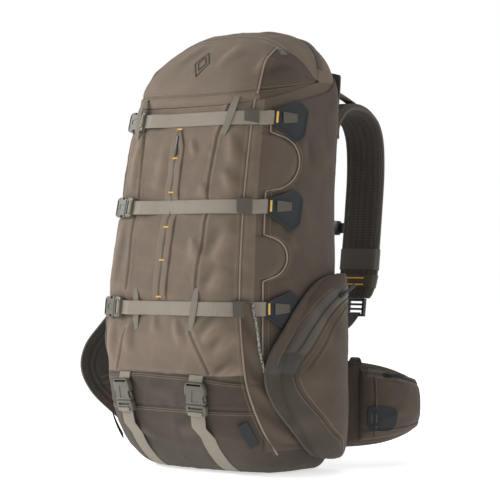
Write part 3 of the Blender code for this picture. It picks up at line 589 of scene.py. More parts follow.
class Clay:
    """Vertices, faces, cloth coordinates and painted shading being gathered into one mesh."""

    def __init__(self):
        self.verts, self.faces, self.uv, self.tone, self.index, self.count = [], [], [], [], [], 0

    def add(self, verts, faces, uv=None, tone=0.0, index=0):
        verts = np.asarray(verts, float).reshape(-1, 3)
        self.faces += [[self.count + i for i in face] for face in faces]
        self.index += [index] * len(faces)
        self.verts.append(verts)
        self.uv.append(verts[:, [0, 2]] if uv is None else np.asarray(uv, float).reshape(-1, 2))
        self.tone.append(np.broadcast_to(np.asarray(tone, float), (len(verts),)) if np.ndim(tone) == 0
                         else np.asarray(tone, float).reshape(-1))
        self.count += len(verts)

    def mesh(self, name, sharp):
        mesh = bpy.data.meshes.new(name)
        verts = np.vstack(self.verts)
        mesh.from_pydata(verts.tolist(), [], self.faces)
        layer = mesh.uv_layers.new(name="metres")
        corners = np.zeros(len(mesh.loops), np.int32)
        mesh.loops.foreach_get("vertex_index", corners)
        layer.data.foreach_set("uv", np.vstack(self.uv)[corners].astype(np.float32).ravel())
        # Per-vertex painted light and shade, which the materials mix into their colour.
        attribute = mesh.attributes.new("tone", "FLOAT", "POINT")
        attribute.data.foreach_set("value", np.concatenate(self.tone).astype(np.float32))
        mesh.polygons.foreach_set("material_index", np.array(self.index, np.int32))
        mesh.shade_smooth()
        mesh.set_sharp_from_angle(angle=math.radians(sharp))
        return mesh


def wound(verts, faces):
    """The faces, turned if they enclose a negative volume."""
    volume = 0.0
    for face in faces[::max(1, len(faces) // 20000)]:
        a = verts[face[0]]
        for b, c in zip(face[1:], face[2:]):
            volume += np.dot(a, np.cross(verts[b], verts[c]))
    return faces if volume > 0 else [face[::-1] for face in faces]


def quads(rows, columns, flip, base=0):
    r, c = np.meshgrid(np.arange(rows - 1), np.arange(columns - 1), indexing="ij")
    a = (base + r * columns + c).ravel()
    made = np.stack([a, a + 1, a + 1 + columns, a + columns], -1)
    return (made[:, ::-1] if flip else made).tolist()


def slab(clay, outer, inner, step=4, tone=0.0, uv=None, lining=0, index=0):
    """A closed solid from an outer grid and a coarser inner one, joined by a rim."""
    rows, columns = outer.shape[:2]
    inside = inner[::step, ::step]
    few_rows, few_columns = inside.shape[:2]
    normal = normals_of(outer)[rows // 2, columns // 2]
    flip = np.dot(normal, outer[rows // 2, columns // 2] - inner[rows // 2, columns // 2]) < 0
    uv = grid_lengths(outer) if uv is None else uv
    front = quads(rows, columns, flip)
    base = rows * columns
    back = quads(few_rows, few_columns, not flip, base)
    rim = []
    fine = ([(0, c) for c in range(columns)], [(r, columns - 1) for r in range(rows)],
            [(rows - 1, c) for c in range(columns - 1, -1, -1)], [(r, 0) for r in range(rows - 1, -1, -1)])
    for side in fine:
        for k in range(0, len(side) - 1, step):
            edge = [r * columns + c for r, c in side[k:k + step + 1]]
            (r0, c0), (r1, c1) = side[k], side[k + step]
            close = [base + (r // step) * few_columns + c // step for r, c in ((r1, c1), (r0, c0))]
            face = edge[::-1] + close[::-1]
            rim.append(face[::-1] if flip else face)
    verts = np.vstack([outer.reshape(-1, 3), inside.reshape(-1, 3)])
    coordinates = np.vstack([uv.reshape(-1, 2), uv[::step, ::step].reshape(-1, 2)])
    shades = np.concatenate([np.broadcast_to(tone, (rows, columns)).ravel(),
                             np.zeros(inside.shape[0] * inside.shape[1])])
    clay.add(verts, front + rim, coordinates, shades, index)
    clay.faces += [[clay.count - len(verts) + i for i in face] for face in back]
    clay.index += [lining] * len(back)


def loft(clay, rings, uv=None, tone=0.0, index=0, caps=True):
    """A closed solid through rings (n, k, 3) of equal point counts."""
    rings = np.asarray(rings, float)
    n, k = rings.shape[:2]
    faces = [[r * k + i, r * k + (i + 1) % k, (r + 1) * k + (i + 1) % k, (r + 1) * k + i]
             for r in range(n - 1) for i in range(k)]
    if caps:
        faces += [list(range(k))[::-1], list(range((n - 1) * k, n * k))]
    verts = rings.reshape(-1, 3)
    clay.add(verts, wound(verts, faces), uv, tone, index)


def put(name, data):
    """A new object in the scene."""
    item = bpy.data.objects.new(name, data)
    bpy.context.scene.collection.objects.link(item)
    return item


def settle(item, body, stands_for):
    """Tells the frame what a piece rides on and stands for."""
    if body:
        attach(item, body)
    if stands_for:
        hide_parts(*stands_for)
    return item


def show(name, clay, looks, body, stands_for=(), sharp=50.0):
    """Puts what was gathered in the scene as a piece that rides on a body."""
    mesh = clay.mesh(name, sharp)
    for one in looks.split():
        mesh.materials.append(finish(one))
    return settle(put(name, mesh), body, stands_for)


def repaint(node, look):
    """Gives a CAD node that stays in view its material."""
    materials = bpy.data.objects[node].data.materials
    materials.clear()
    materials.append(finish(look))


def ribbon(clay, centres, across, normals, width, thickness, index=0, tone=0.0):
    """Webbing with rounded edges through stations; width may vary along it."""
    centres, across, normals = (np.asarray(v, float) for v in (centres, across, normals))
    width = np.broadcast_to(np.asarray(width, float), (len(centres),))
    section = [(-0.5, 0.0), (-0.475, -0.42), (-0.42, -0.5), (0.42, -0.5), (0.475, -0.42), (0.5, 0.0),
               (0.475, 0.42), (0.42, 0.5), (0.25, 0.47), (0.0, 0.5), (-0.25, 0.47), (-0.42, 0.5),
               (-0.475, 0.42)]
    rings, uv = [], []
    for centre, side, lift, wide, length in zip(centres, across, normals, width, travel(centres)):
        rings.append([centre + side * a * wide + lift * b * thickness for a, b in section])
        uv.append([(length, a * wide) for a, b in section])
    loft(clay, rings, uv, tone, index)


def strap(name, line, look, body, stands_for=()):
    """A piece of one ribbon; line is what ribbon takes after the clay."""
    clay = Clay()
    ribbon(clay, *line)
    return show(name, clay, look, body, stands_for)


def placed(verts, frame):
    """Local points put in a 4 x 4 frame."""
    verts = np.asarray(verts, float)
    return verts @ frame[:3, :3].T + frame[:3, 3]


def clip_frame(origin, along, out):
    """X along the webbing, Y across it, Z away from the bag."""
    frame = np.eye(4)
    frame[:3, 0], frame[:3, 1], frame[:3, 2], frame[:3, 3] = along, unit(np.cross(out, along)), out, origin
    return frame


def rounded(outline, radius, steps=4):
    """An outline with its corners rounded off."""
    points = np.asarray(outline, float)
    done = []
    for before, here, after in zip(np.roll(points, 1, 0), points, np.roll(points, -1, 0)):
        back, ahead = before - here, after - here
        r = min(radius, np.linalg.norm(back) * 0.45, np.linalg.norm(ahead) * 0.45)
        a, b = here + unit(back) * r, here + unit(ahead) * r
        for t in np.linspace(0, 1, steps):
            done.append((1 - t) ** 2 * a + 2 * t * (1 - t) * here + t * t * b)
    return np.array(done)


def plate(outline, low, high, bevel):
    """Rings of a moulded plate with bevelled edges, in its own frame."""
    outline = np.asarray(outline, float)
    tangent = unit(np.roll(outline, -1, 0) - np.roll(outline, 1, 0))
    inward = np.stack([-tangent[:, 1], tangent[:, 0]], -1)
    area = np.sum(outline[:, 0] * np.roll(outline[:, 1], -1) - np.roll(outline[:, 0], -1) * outline[:, 1])
    inward *= 1 if area > 0 else -1
    rings = []
    for share, z in ((1.0, low), (0.3, low + 0.3 * bevel), (0.0, low + bevel), (0.0, high - bevel),
                     (0.3, high - 0.3 * bevel), (1.0, high)):
        flat = outline + inward * bevel * share
        rings.append(np.column_stack([flat, np.full(len(flat), z)]))
    return np.array(rings)


def evaluated(item):
    """The plain mesh that an object's modifiers give."""
    bpy.context.view_layer.update()
    return bpy.data.meshes.new_from_object(item.evaluated_get(bpy.context.evaluated_depsgraph_get()))


def carve(mesh_from, cutters):
    """A mesh with cutter solids taken out of it; each solid is (verts, faces)."""
    def temporary(name, verts, faces):
        mesh = bpy.data.meshes.new(name)
        mesh.from_pydata(np.asarray(verts).tolist(), [], wound(np.asarray(verts), faces))
        return put(name, mesh)

    block = temporary("carved", *mesh_from)
    tools = []
    for k, cutter in enumerate(cutters):
        tools.append(temporary(f"cutter_{k}", *cutter))
        step = block.modifiers.new("cut", "BOOLEAN")
        step.object, step.solver, step.operation = tools[-1], "EXACT", "DIFFERENCE"
    cut = evaluated(block)
    verts = np.array([v.co for v in cut.vertices])
    faces = [list(p.vertices) for p in cut.polygons]
    for item in [block] + tools:
        bpy.data.objects.remove(item, do_unlink=True)
    return verts, faces


def solid(rings):
    """Vertices and faces of a loft in its own frame."""
    clay = Clay()
    loft(clay, rings)
    return np.vstack(clay.verts), clay.faces


def prism(outline, low, high):
    return solid([np.column_stack([outline, np.full(len(outline), z)]) for z in (low, high)])


def box_solid(low, high):
    (x0, y0, z0), (x1, y1, z1) = low, high
    return prism([(x0, y0), (x1, y0), (x1, y1), (x0, y1)], z0, z1)


def cast(clay, frame, made, index=0):
    """Adds a solid that was made in a frame of its own, where it belongs."""
    clay.add(placed(made[0], frame), made[1], index=index)


def moulding(name, frame, look, body, slot, *solids, stands_for=()):
    """A piece of one or more moulded solids."""
    clay = Clay()
    for made in solids:
        cast(clay, frame, made)
    show(name, clay, look, body, stands_for, sharp=35)


# ---------------------------------------------------------------- repeated shapes with geometry nodes

def new_tree(name, inputs):
    tree = bpy.data.node_groups.new(name, "GeometryNodeTree")
    tree.interface.new_socket("Geometry", in_out="INPUT", socket_type="NodeSocketGeometry")
    for label, kind in inputs:
        tree.interface.new_socket(label, in_out="INPUT", socket_type=kind)
    tree.interface.new_socket("Geometry", in_out="OUTPUT", socket_type="NodeSocketGeometry")
    return tree


def wire(tree, kind, inputs=(), **settings):
    node = tree.nodes.new(kind)
    for key, value in settings.items():
        setattr(node, key, value)
    for key, value in dict(inputs).items():
        if isinstance(value, bpy.types.NodeSocket):
            tree.links.new(value, node.inputs[key])
        else:
            node.inputs[key].default_value = value
    return node


def end_tree(tree, geometry, material):
    real = wire(tree, "GeometryNodeRealizeInstances", {0: geometry})
    painted = wire(tree, "GeometryNodeSetMaterial", {"Geometry": real.outputs[0], "Material": material})
    wire(tree, "NodeGroupOutput", {0: painted.outputs[0]})
    return tree


def row_tree(shape):
    """Copies of a small shape along lines, each turned along its line and lifted out of the surface."""
    found = bpy.data.node_groups.get(f"row_of_{shape}")
    if found:
        return found
    tree = new_tree(f"row_of_{shape}", (("Pitch", "NodeSocketFloat"), ("Size", "NodeSocketVector"),
                                        ("Material", "NodeSocketMaterial")))
    given = wire(tree, "NodeGroupInput").outputs
    curve = wire(tree, "GeometryNodeMeshToCurve", {0: given["Geometry"]})
    spaced = wire(tree, "GeometryNodeResampleCurve", {"Curve": curve.outputs[0], "Length": given["Pitch"]},
                  mode="LENGTH")
    lift = wire(tree, "GeometryNodeInputNamedAttribute", {"Name": "lift"}, data_type="FLOAT_VECTOR")
    upright = wire(tree, "FunctionNodeAlignRotationToVector", {"Vector": lift.outputs[0]}, axis="Z")
    tangent = wire(tree, "GeometryNodeInputTangent")
    aimed = wire(tree, "FunctionNodeAlignRotationToVector",
                 {"Rotation": upright.outputs[0], "Vector": tangent.outputs[0]}, axis="X", pivot_axis="Z")
    if shape == "stitches":
        form = wire(tree, "GeometryNodeMeshIcoSphere", {"Radius": 0.5, "Subdivisions": 2})
    else:
        form = wire(tree, "GeometryNodeMeshCube", {"Size": (1.0, 1.0, 1.0)})
    copies = wire(tree, "GeometryNodeInstanceOnPoints",
                  {"Points": spaced.outputs[0], "Instance": form.outputs[0], "Rotation": aimed.outputs[0],
                   "Scale": given["Size"]})
    soft = wire(tree, "GeometryNodeSetShadeSmooth",
                {"Geometry": copies.outputs[0], "Shade Smooth": shape == "stitches"})
    return end_tree(tree, soft.outputs[0], given["Material"])


def piping_tree():
    """Round cord along lines."""
    found = bpy.data.node_groups.get("piping")
    if found:
        return found
    tree = new_tree("piping", (("Radius", "NodeSocketFloat"), ("Material", "NodeSocketMaterial")))
    given = wire(tree, "NodeGroupInput").outputs
    curve = wire(tree, "GeometryNodeMeshToCurve", {0: given["Geometry"]})
    ring = wire(tree, "GeometryNodeCurvePrimitiveCircle", {"Resolution": 8, "Radius": given["Radius"]})
    tube = wire(tree, "GeometryNodeCurveToMesh",
                {"Curve": curve.outputs[0], "Profile Curve": ring.outputs[0], "Fill Caps": True})
    soft = wire(tree, "GeometryNodeSetShadeSmooth", {"Geometry": tube.outputs[0]})
    return end_tree(tree, soft.outputs[0], given["Material"])


def grown(name, lines, tree, values, material, body):
    """A piece made by a node tree from lines; each line is (points, lifts)."""
    verts, lifts, edges = [], [], []
    for points, normals in lines:
        start = len(verts)
        verts += np.asarray(points, float).tolist()
        lifts += np.broadcast_to(np.asarray(normals, float), np.shape(points)).tolist()
        edges += [(k, k + 1) for k in range(start, len(verts) - 1)]
    mesh = bpy.data.meshes.new(f"{name}_lines")
    mesh.from_pydata(verts, edges, [])
    lift = mesh.attributes.new("lift", "FLOAT_VECTOR", "POINT")
    lift.data.foreach_set("vector", np.array(lifts, np.float32).ravel())
    helper = put(f"{name}_lines", mesh)
    step = helper.modifiers.new("grow", "NODES")
    step.node_group = tree
    values = {**values, "Material": finish(material)}
    for item in tree.interface.items_tree:
        if item.in_out == "INPUT" and item.name in values:
            step[item.identifier] = values[item.name]
    made = evaluated(helper)
    bpy.data.objects.remove(helper, do_unlink=True)
    made.name = name
    return settle(put(name, made), body, ())


def stitches(name, lines, body, material="thread"):
    s = sizes()
    values = {"Pitch": s.stitch_pitch, "Size": (s.stitch_length, s.thread, s.thread)}
    return grown(name, lines, row_tree("stitches"), values, material, body)


def bars(name, lines, body, width, material="accent"):
    """Bar tacks: dense zigzag thread along short lines."""
    thread = sizes().thread
    values = {"Pitch": thread * 1.1, "Size": (thread * 1.25, width, thread * 1.6)}
    return grown(name, lines, row_tree("stitches"), values, material, body)


def piping(name, lines, body, radius=None, material="shell", slot=None):
    return grown(name, lines, piping_tree(), {"Radius": radius or sizes().piping}, material, body)


def teeth(name, lines, body, width=0.0030):
    pitch = sizes().tooth_pitch
    values = {"Pitch": pitch, "Size": (pitch * 0.6, width, TOOTH_HEIGHT)}
    return grown(name, lines, row_tree("teeth"), values, "coil", body)


# ---------------------------------------------------------------- lines on the bag

# Seams as (distance round the bag, height), right side first; the left side mirrors them
CORNER_SEAM = ((0.1330, 0.548), (0.1310, 0.480), (0.1300, 0.422), (0.1290, 0.318), (0.1290, 0.248),
               (0.1330, 0.180), (0.1400, 0.123), (0.1600, 0.066), (0.1850, 0.030))
PLEAT_SEAM = ((0.092, 0.525), (0.080, 0.478), (0.076, 0.440), (0.072, 0.402), (0.074, 0.372), (0.073, 0.338),
              (0.067, 0.290), (0.066, 0.262))
DART_SEAM = ((0.060, 0.204), (0.072, 0.178), (0.086, 0.146))
HEM_SEAM = ((-0.200, 0.132), (-0.150, 0.134), (-0.100, 0.140), (-0.040, 0.144), (0.000, 0.143),
            (0.060, 0.141), (0.110, 0.136), (0.150, 0.132), (0.200, 0.128))
HEM_Z = np.interp(0.0, *zip(*HEM_SEAM))
FOOT_SEAM = ((-0.200, 0.094), (-0.100, 0.096), (0.000, 0.096), (0.100, 0.095), (0.200, 0.092))
FOLDS = (  # start, end, half width and share of the crease height
    ((0.026, 0.474), (0.040, 0.446), 0.006, 0.6), ((0.058, 0.412), (0.064, 0.390), 0.007, 0.6),
    ((0.050, 0.336), (0.062, 0.300), 0.008, 0.8), ((0.030, 0.224), (0.043, 0.182), 0.006, 0.7),
    ((0.078, 0.190), (0.112, 0.216), 0.009, 1.1), ((0.096, 0.170), (0.126, 0.205), 0.008, 0.9),
    ((0.098, 0.140), (0.132, 0.156), 0.007, 1.3), ((-0.030, 0.470), (-0.036, 0.400), 0.010, 0.5),
    ((-0.086, 0.500), (-0.098, 0.404), 0.007, 0.9), ((-0.100, 0.362), (-0.110, 0.262), 0.008, 0.9),
    ((0.100, 0.484), (0.112, 0.430), 0.008, 0.8), ((0.094, 0.430), (0.116, 0.396), 0.008, 0.7),
    ((0.090, 0.300), (0.118, 0.346), 0.010, 0.9), ((0.084, 0.256), (0.112, 0.290), 0.009, 0.8),
    ((-0.052, 0.222), (-0.062, 0.170), 0.007, 0.8), ((-0.010, 0.226), (-0.004, 0.196), 0.006, 0.6),
    ((-0.090, 0.220), (-0.110, 0.160), 0.008, 0.9), ((-0.020, 0.120), (0.030, 0.112), 0.008, 0.5),
    ((0.020, 0.060), (0.080, 0.072), 0.009, 0.8), ((-0.030, 0.052), (-0.080, 0.070), 0.009, 0.7))
SCALLOPS = (("upper", "middle", 19.0, 0.040), ("middle", "lower", 13.0, 0.030))
PANEL_FRONT_ANGLE = -38.0
PANEL_REAR_ANGLE = 17.0
PANEL_BOTTOM = 0.035


def mirrored_line(line):
    return tuple((-s, z) for s, z in line)


def panel_front(z):
    """Front edge of a side panel: two scallops between the three strap rows."""
    angle = np.full(np.shape(z), PANEL_FRONT_ANGLE)
    for above, below, depth, half in SCALLOPS:
        middle = (ROWS[above] + ROWS[below]) / 2
        angle = angle + depth * np.sqrt(np.maximum(0.0, 1 - ((z - middle) / half) ** 2))
    return angle


def bag_relief(angle, z):
    """How far the filled cloth stands off the bag's plain surface, and the painted highlight and shade of its
    folds and seams.
    """
    angle, z = np.broadcast_arrays(np.asarray(angle, float), np.asarray(z, float))
    s = arc(angle)
    size = sizes()
    right = np.where(angle < -90, -180 - angle, angle)
    under = smooth(-6, 0, right - panel_front(z)) * smooth(PANEL_BOTTOM - 0.02, PANEL_BOTTOM, z)
    pillow = np.ones(np.shape(s * z))
    for row in ROWS.values():
        pillow = pillow * (1 - 0.85 * bell(z - row, 0.017))
    pillow = pillow * (0.35 + 0.65 * smooth(0.15, 0.20, z)) * smooth(0, 0.02, body_top(angle) - z)
    for line in (CORNER_SEAM, mirrored_line(CORNER_SEAM)):
        d, _ = from_line(s, z, line)
        pillow = pillow * (1 - 0.7 * bell(d, 0.010))
    pillow = pillow * size.pillow * (1 - smooth(20, 60, right + 20))
    marks = np.zeros(np.shape(pillow))
    for line in (CORNER_SEAM, PLEAT_SEAM, DART_SEAM):
        for one in (line, mirrored_line(line)):
            marks += seam(s, z, one)
    marks += seam(s, z, HEM_SEAM, 0.0020, 0.0014) + seam(s, z, FOOT_SEAM, 0.0020, 0.0012)
    for start, stop, width, share in FOLDS:
        marks += fold(s, z, (start, stop), width, share * size.crease)
    points = np.stack([s, z, 0 * z], -1)
    marks += wrinkles(points, 7, 0.055, size.wrinkle) + wrinkles(points, 3, 0.020, size.wrinkle * 0.35)
    out = np.minimum((pillow + marks) * (1 - under) + CLOTH_STANDOFF, RELIEF_CAP)
    return out, painted_shading_of(marks) * (1 - under)


def bag_line(line, lift=0.0, steps=10, side=1):
    """A line on the cloth from (distance, height) points: its points and its lifts."""
    path = spline(line, steps) * (side, 1)
    angle = angle_of(path[:, 0])
    out = bag_relief(angle, path[:, 1])[0] + lift
    return on_bag(angle, path[:, 1], out), outward(angle, path[:, 1])


def skin(name, start, stop, columns, rows, looks, stands_for=(), flank=0.0):
    """Cloth of the main bag between two angles; a flank at its start takes the fourth look."""
    angle = angle_of(np.linspace(arc(start), arc(stop), columns + 1))
    foot = BASE_THICKNESS + GAP
    share = np.linspace(0, 1, rows + 1)[:, None]
    z = foot + share * (body_top(angle) - foot)
    angle = np.broadcast_to(angle, z.shape)
    out, tone = bag_relief(angle, z)
    clay = Clay()
    slab(clay, on_bag(angle, z, out), on_bag(angle, z, -CLOTH_WALL), 4, tone, cloth_uv(angle, z), 1)
    heights, index = np.vstack(clay.verts)[:, 2], np.array(clay.index)
    # Below the hem the base cloth: a darker coated band whose colour also paints the shade towards the bag's
    # underside.
    index[[heights[face].mean() < HEM_Z for face in clay.faces] & (index == 0)] = 2
    # The flank strip takes the side cloth: the shell darkened as painted shade along the front's left edge.
    strip = (arc(angle[:-1, :-1]) < arc(start) + flank).ravel()
    index[:strip.size][strip & (index[:strip.size] == 0)] = 3
    clay.index = index.tolist()
    piece = show(name, clay, looks, "pack", stands_for)
    return piece


# ---------------------------------------------------------------- operators

class PackOperator(bpy.types.Operator):
    """Base of the piece builders."""

    bl_options = {"REGISTER", "UNDO"}

    def execute(self, context):
        self.build()
        return {"FINISHED"}


class PACK_OT_bag(PackOperator):
    """The main bag's cloth, piping and stitches"""

    bl_idname = "pack.bag"
    bl_label = "Main Bag"

    def build(self):
        skin("bag_front", -138, -42, 240, 340, "shell lining base side", ("main_bag",), 0.016)
        # The right side's cloth is the shell half darkened, painted half shade.
        skin("bag_side_right", -42, 20, 64, 200, "gore lining base")
        skin("bag_side_left", -200, -138, 64, 200, "side lining base")
        skin("bag_back", 20, 160, 48, 120, "side lining base")
        lines = [bag_line(CORNER_SEAM, 0.0010, side=side) for _, side in SIDES]
        # Pale trim piping: painted highlight along the corner seams.
        piping("corner_piping", lines, "pack", 0.0015, "trim", "pack_fabric")
        rows = []
        for side in (1, -1):
            for line, shift in ((CORNER_SEAM, 0.006), (PLEAT_SEAM, 0.004), (DART_SEAM, 0.004)):
                rows.append(bag_line(np.array(line) + (-shift, 0), 0.0002, side=side))
        for line in (HEM_SEAM, FOOT_SEAM):
            for shift in (0.003, 0.006):
                rows.append(bag_line(np.array(line) - (0, shift), 0.0002))
        stitches("bag_stitches", rows, "pack")


def inside_bag(p):
    front, back, half = level(p[..., 2])
    power_front, power_back = corner_powers(p[..., 2])
    centre = back - CENTRE_SHARE * (back - front)
    y = p[..., 1] - centre
    power = np.where(y < 0, power_front, power_back)
    reach = np.where(y < 0, centre - front, back - centre)
    inside = (np.abs(p[..., 0]) / half) ** power + (np.abs(y) / reach) ** power < 1
    return inside & (p[..., 2] > 0) & (p[..., 2] < BAG_HEIGHT)


def on_globe(pitch, yaw):
    """The bag's surface seen from the middle of the crown zip's foot: pitch 0 is forward, 90 is up."""
    pitch, yaw = np.radians(pitch), np.radians(yaw)
    parts = np.sin(yaw), -np.cos(pitch) * np.cos(yaw), np.sin(pitch) * np.cos(yaw)
    aim = np.stack(np.broadcast_arrays(*parts), -1)
    eye = np.array([0.0, CROWN_ZIP_Y, ZIP_FOOT_Z])
    low, high = np.zeros(aim.shape[:-1]), np.full(aim.shape[:-1], 0.5)
    for _ in range(32):
        middle = (low + high) / 2
        inside = inside_bag(eye + aim * middle[..., None])
        low, high = np.where(inside, middle, low), np.where(inside, high, middle)
    return eye + aim * low[..., None]


RIM_PITCH = -math.degrees(math.atan(RIM_SLOPE))
ZIP_PITCH = 180 - math.degrees(math.atan2(1, ZIP_LEAN))
GLOBE_YAW = 88.5
ARC_ZIP = ((50.5, 0.0), (51.2, 20.0), (52.4, 41.0), (50.3, 53.0), (45.0, 60.0), (38.0, 63.0))
GUSSET_SEAM = ((47.0, 57.0), (33.4, 55.0), (11.9, 51.5), (-2.5, 49.0), (-11.5, 46.5))
CROWN_FOLDS = (
    ((10, 20), (36, 34), 4.5, 0.7), ((16, -26), (44, -12), 5.0, 0.6), ((2, 46), (24, 58), 4.0, 0.9),
    ((72, -30), (96, -38), 4.0, 0.7), ((74, 28), (98, 40), 4.0, 0.8), ((4, -52), (26, -60), 4.0, 0.8))


def crown_relief(pitch, yaw):
    """Stand-off and painted shading of the crown's cloth; a degree is about 2 mm there."""
    size = sizes()
    edge = np.minimum(pitch - RIM_PITCH, ZIP_PITCH - pitch)
    pillow = size.pillow * 0.8 * smooth(0, 14, edge) * smooth(88, 70, np.abs(yaw))
    marks = np.zeros(np.shape(pillow))
    hem = 0.0010 * bell(pitch - RIM_PITCH - 3.0, 2.2) - 0.0014 * bell(pitch - RIM_PITCH - 6.5, 0.9)
    marks += hem * smooth(84, 70, np.abs(yaw))
    for side in (1, -1):
        marks += seam(pitch, side * yaw, ARC_ZIP, 1.0, 0.0014, 0.0004)
        marks += seam(pitch, side * yaw, GUSSET_SEAM, 0.9, 0.0012, 0.0005)
    for start, stop, width, share in CROWN_FOLDS:
        marks += fold(pitch, yaw, (start, stop), width, share * size.crease)
    points = np.stack([pitch * 0.002, yaw * 0.002, 0 * pitch], -1)
    marks += wrinkles(points, 11, 0.060, size.wrinkle)
    return pillow + marks + 0.0004, painted_shading_of(marks)


def crown_line(line, lift, steps=10, side=1):
    """A line on the crown's cloth from (pitch, yaw) points: its points and its lifts."""
    path = spline(line, steps)
    pitch, yaw = path[:, 0], path[:, 1] * side
    here = on_globe(pitch, yaw)
    across = on_globe(pitch, yaw + 0.4) - on_globe(pitch, yaw - 0.4)
    up = on_globe(pitch + 0.4, yaw) - on_globe(pitch - 0.4, yaw)
    normal = unit(np.cross(across, up))
    out = crown_relief(pitch, yaw)[0] + lift
    return here + normal * out[:, None], normal


class PACK_OT_crown(PackOperator):
    """The crown's cloth with its arc zip, the rear collar and the main zip between them"""

    bl_idname = "pack.crown"
    bl_label = "Crown"

    def build(self):
        self.cloth("crown_cloth", RIM_PITCH + 0.3, ZIP_PITCH - 0.3, 160, 240, "crown", ("crown_lid",))
        self.cloth("rear_collar", ZIP_PITCH + 0.3, 180.0, 60, 120, "pack", ())
        rows = []
        for shift in (5.2, 7.8):
            rows.append(crown_line([(RIM_PITCH + shift, y) for y in range(-75, 76, 15)], 0.0002))
        for side in (1, -1):
            for shift in (3.6, -3.6):
                rows.append(crown_line([(p + shift, y) for p, y in ARC_ZIP[:-1]], 0.0002, side=side))
            rows.append(crown_line([(p, y - 1.8) for p, y in GUSSET_SEAM], 0.0002, side=side))
        stitches("crown_stitches", rows, "crown")
        lines = [crown_line(GUSSET_SEAM, 0.0010, side=side) for side in (1, -1)]
        # Pale trim piping: painted highlight along the gusset seams.
        piping("crown_piping", lines, "crown", 0.0014, "trim", "pack_fabric")
        arch = [(p, y) for p, y in ARC_ZIP[::-1]] + [(p, -y) for p, y in ARC_ZIP[1:]]
        self.tape("arc_zip", arch, 0.014, 0.0007, "ribbon")
        self.tape("crown_zip", [(ZIP_PITCH - 3.2, y) for y in range(-80, 81, 10)], 0.021, 0.0026, "zip")
        self.badge()

    def cloth(self, name, low, high, rows, columns, body, stands_for):
        pitch = np.linspace(low, high, rows + 1)[:, None]
        yaw = np.linspace(-GLOBE_YAW, GLOBE_YAW, columns + 1)[None, :]
        pitch, yaw = np.broadcast_arrays(pitch, yaw)
        plain = on_globe(pitch, yaw)
        normal = normals_of(plain)
        if body == "crown":
            out, tone = crown_relief(pitch, yaw)
        else:
            out, tone = np.full(pitch.shape, 0.0004), np.zeros(pitch.shape)
        clay = Clay()
        slab(clay, plain + normal * out[..., None], plain - normal * CLOTH_WALL, 4, tone, None, 1)
        # The gusset beyond its seam takes the side cloth: the shell darkened as painted shade on the crown's
        # flanks.
        seam_yaw = np.interp(pitch, *zip(*GUSSET_SEAM[::-1]))
        gusset = ((pitch < GUSSET_SEAM[0][0]) & (np.abs(yaw) > seam_yaw))[:-1, :-1] & (body == "crown")
        clay.index[:gusset.size] = (2 * gusset.astype(int)).ravel().tolist()
        piece = show(name, clay, "shell lining side", body, stands_for)

    def tape(self, name, line, width, coil, material):
        points, normal = crown_line(line, 0.0009, 6)
        strap(name, (points, beside(points, normal), normal, width, 0.0012), material, "crown")
        teeth(f"{name}_coil", [(points + normal * 0.0004, normal)], "crown", coil)

    def badge(self):
        """A plain embroidered diamond on the crown's front."""
        diamond = [(3.0, 3.0), (14.0, 10.5), (25.0, 3.0), (14.0, -4.5), (3.0, 3.0)]
        inner = [(8.0, 3.0), (14.0, 7.0), (20.0, 3.0), (14.0, -1.0), (8.0, 3.0)]
        lines = []
        for outline in (diamond, inner):
            for start, stop in zip(outline, outline[1:]):
                lines.append(crown_line([start, stop], 0.0003, 8))
        bars("crown_badge", lines, "crown", 0.0022, "coil")


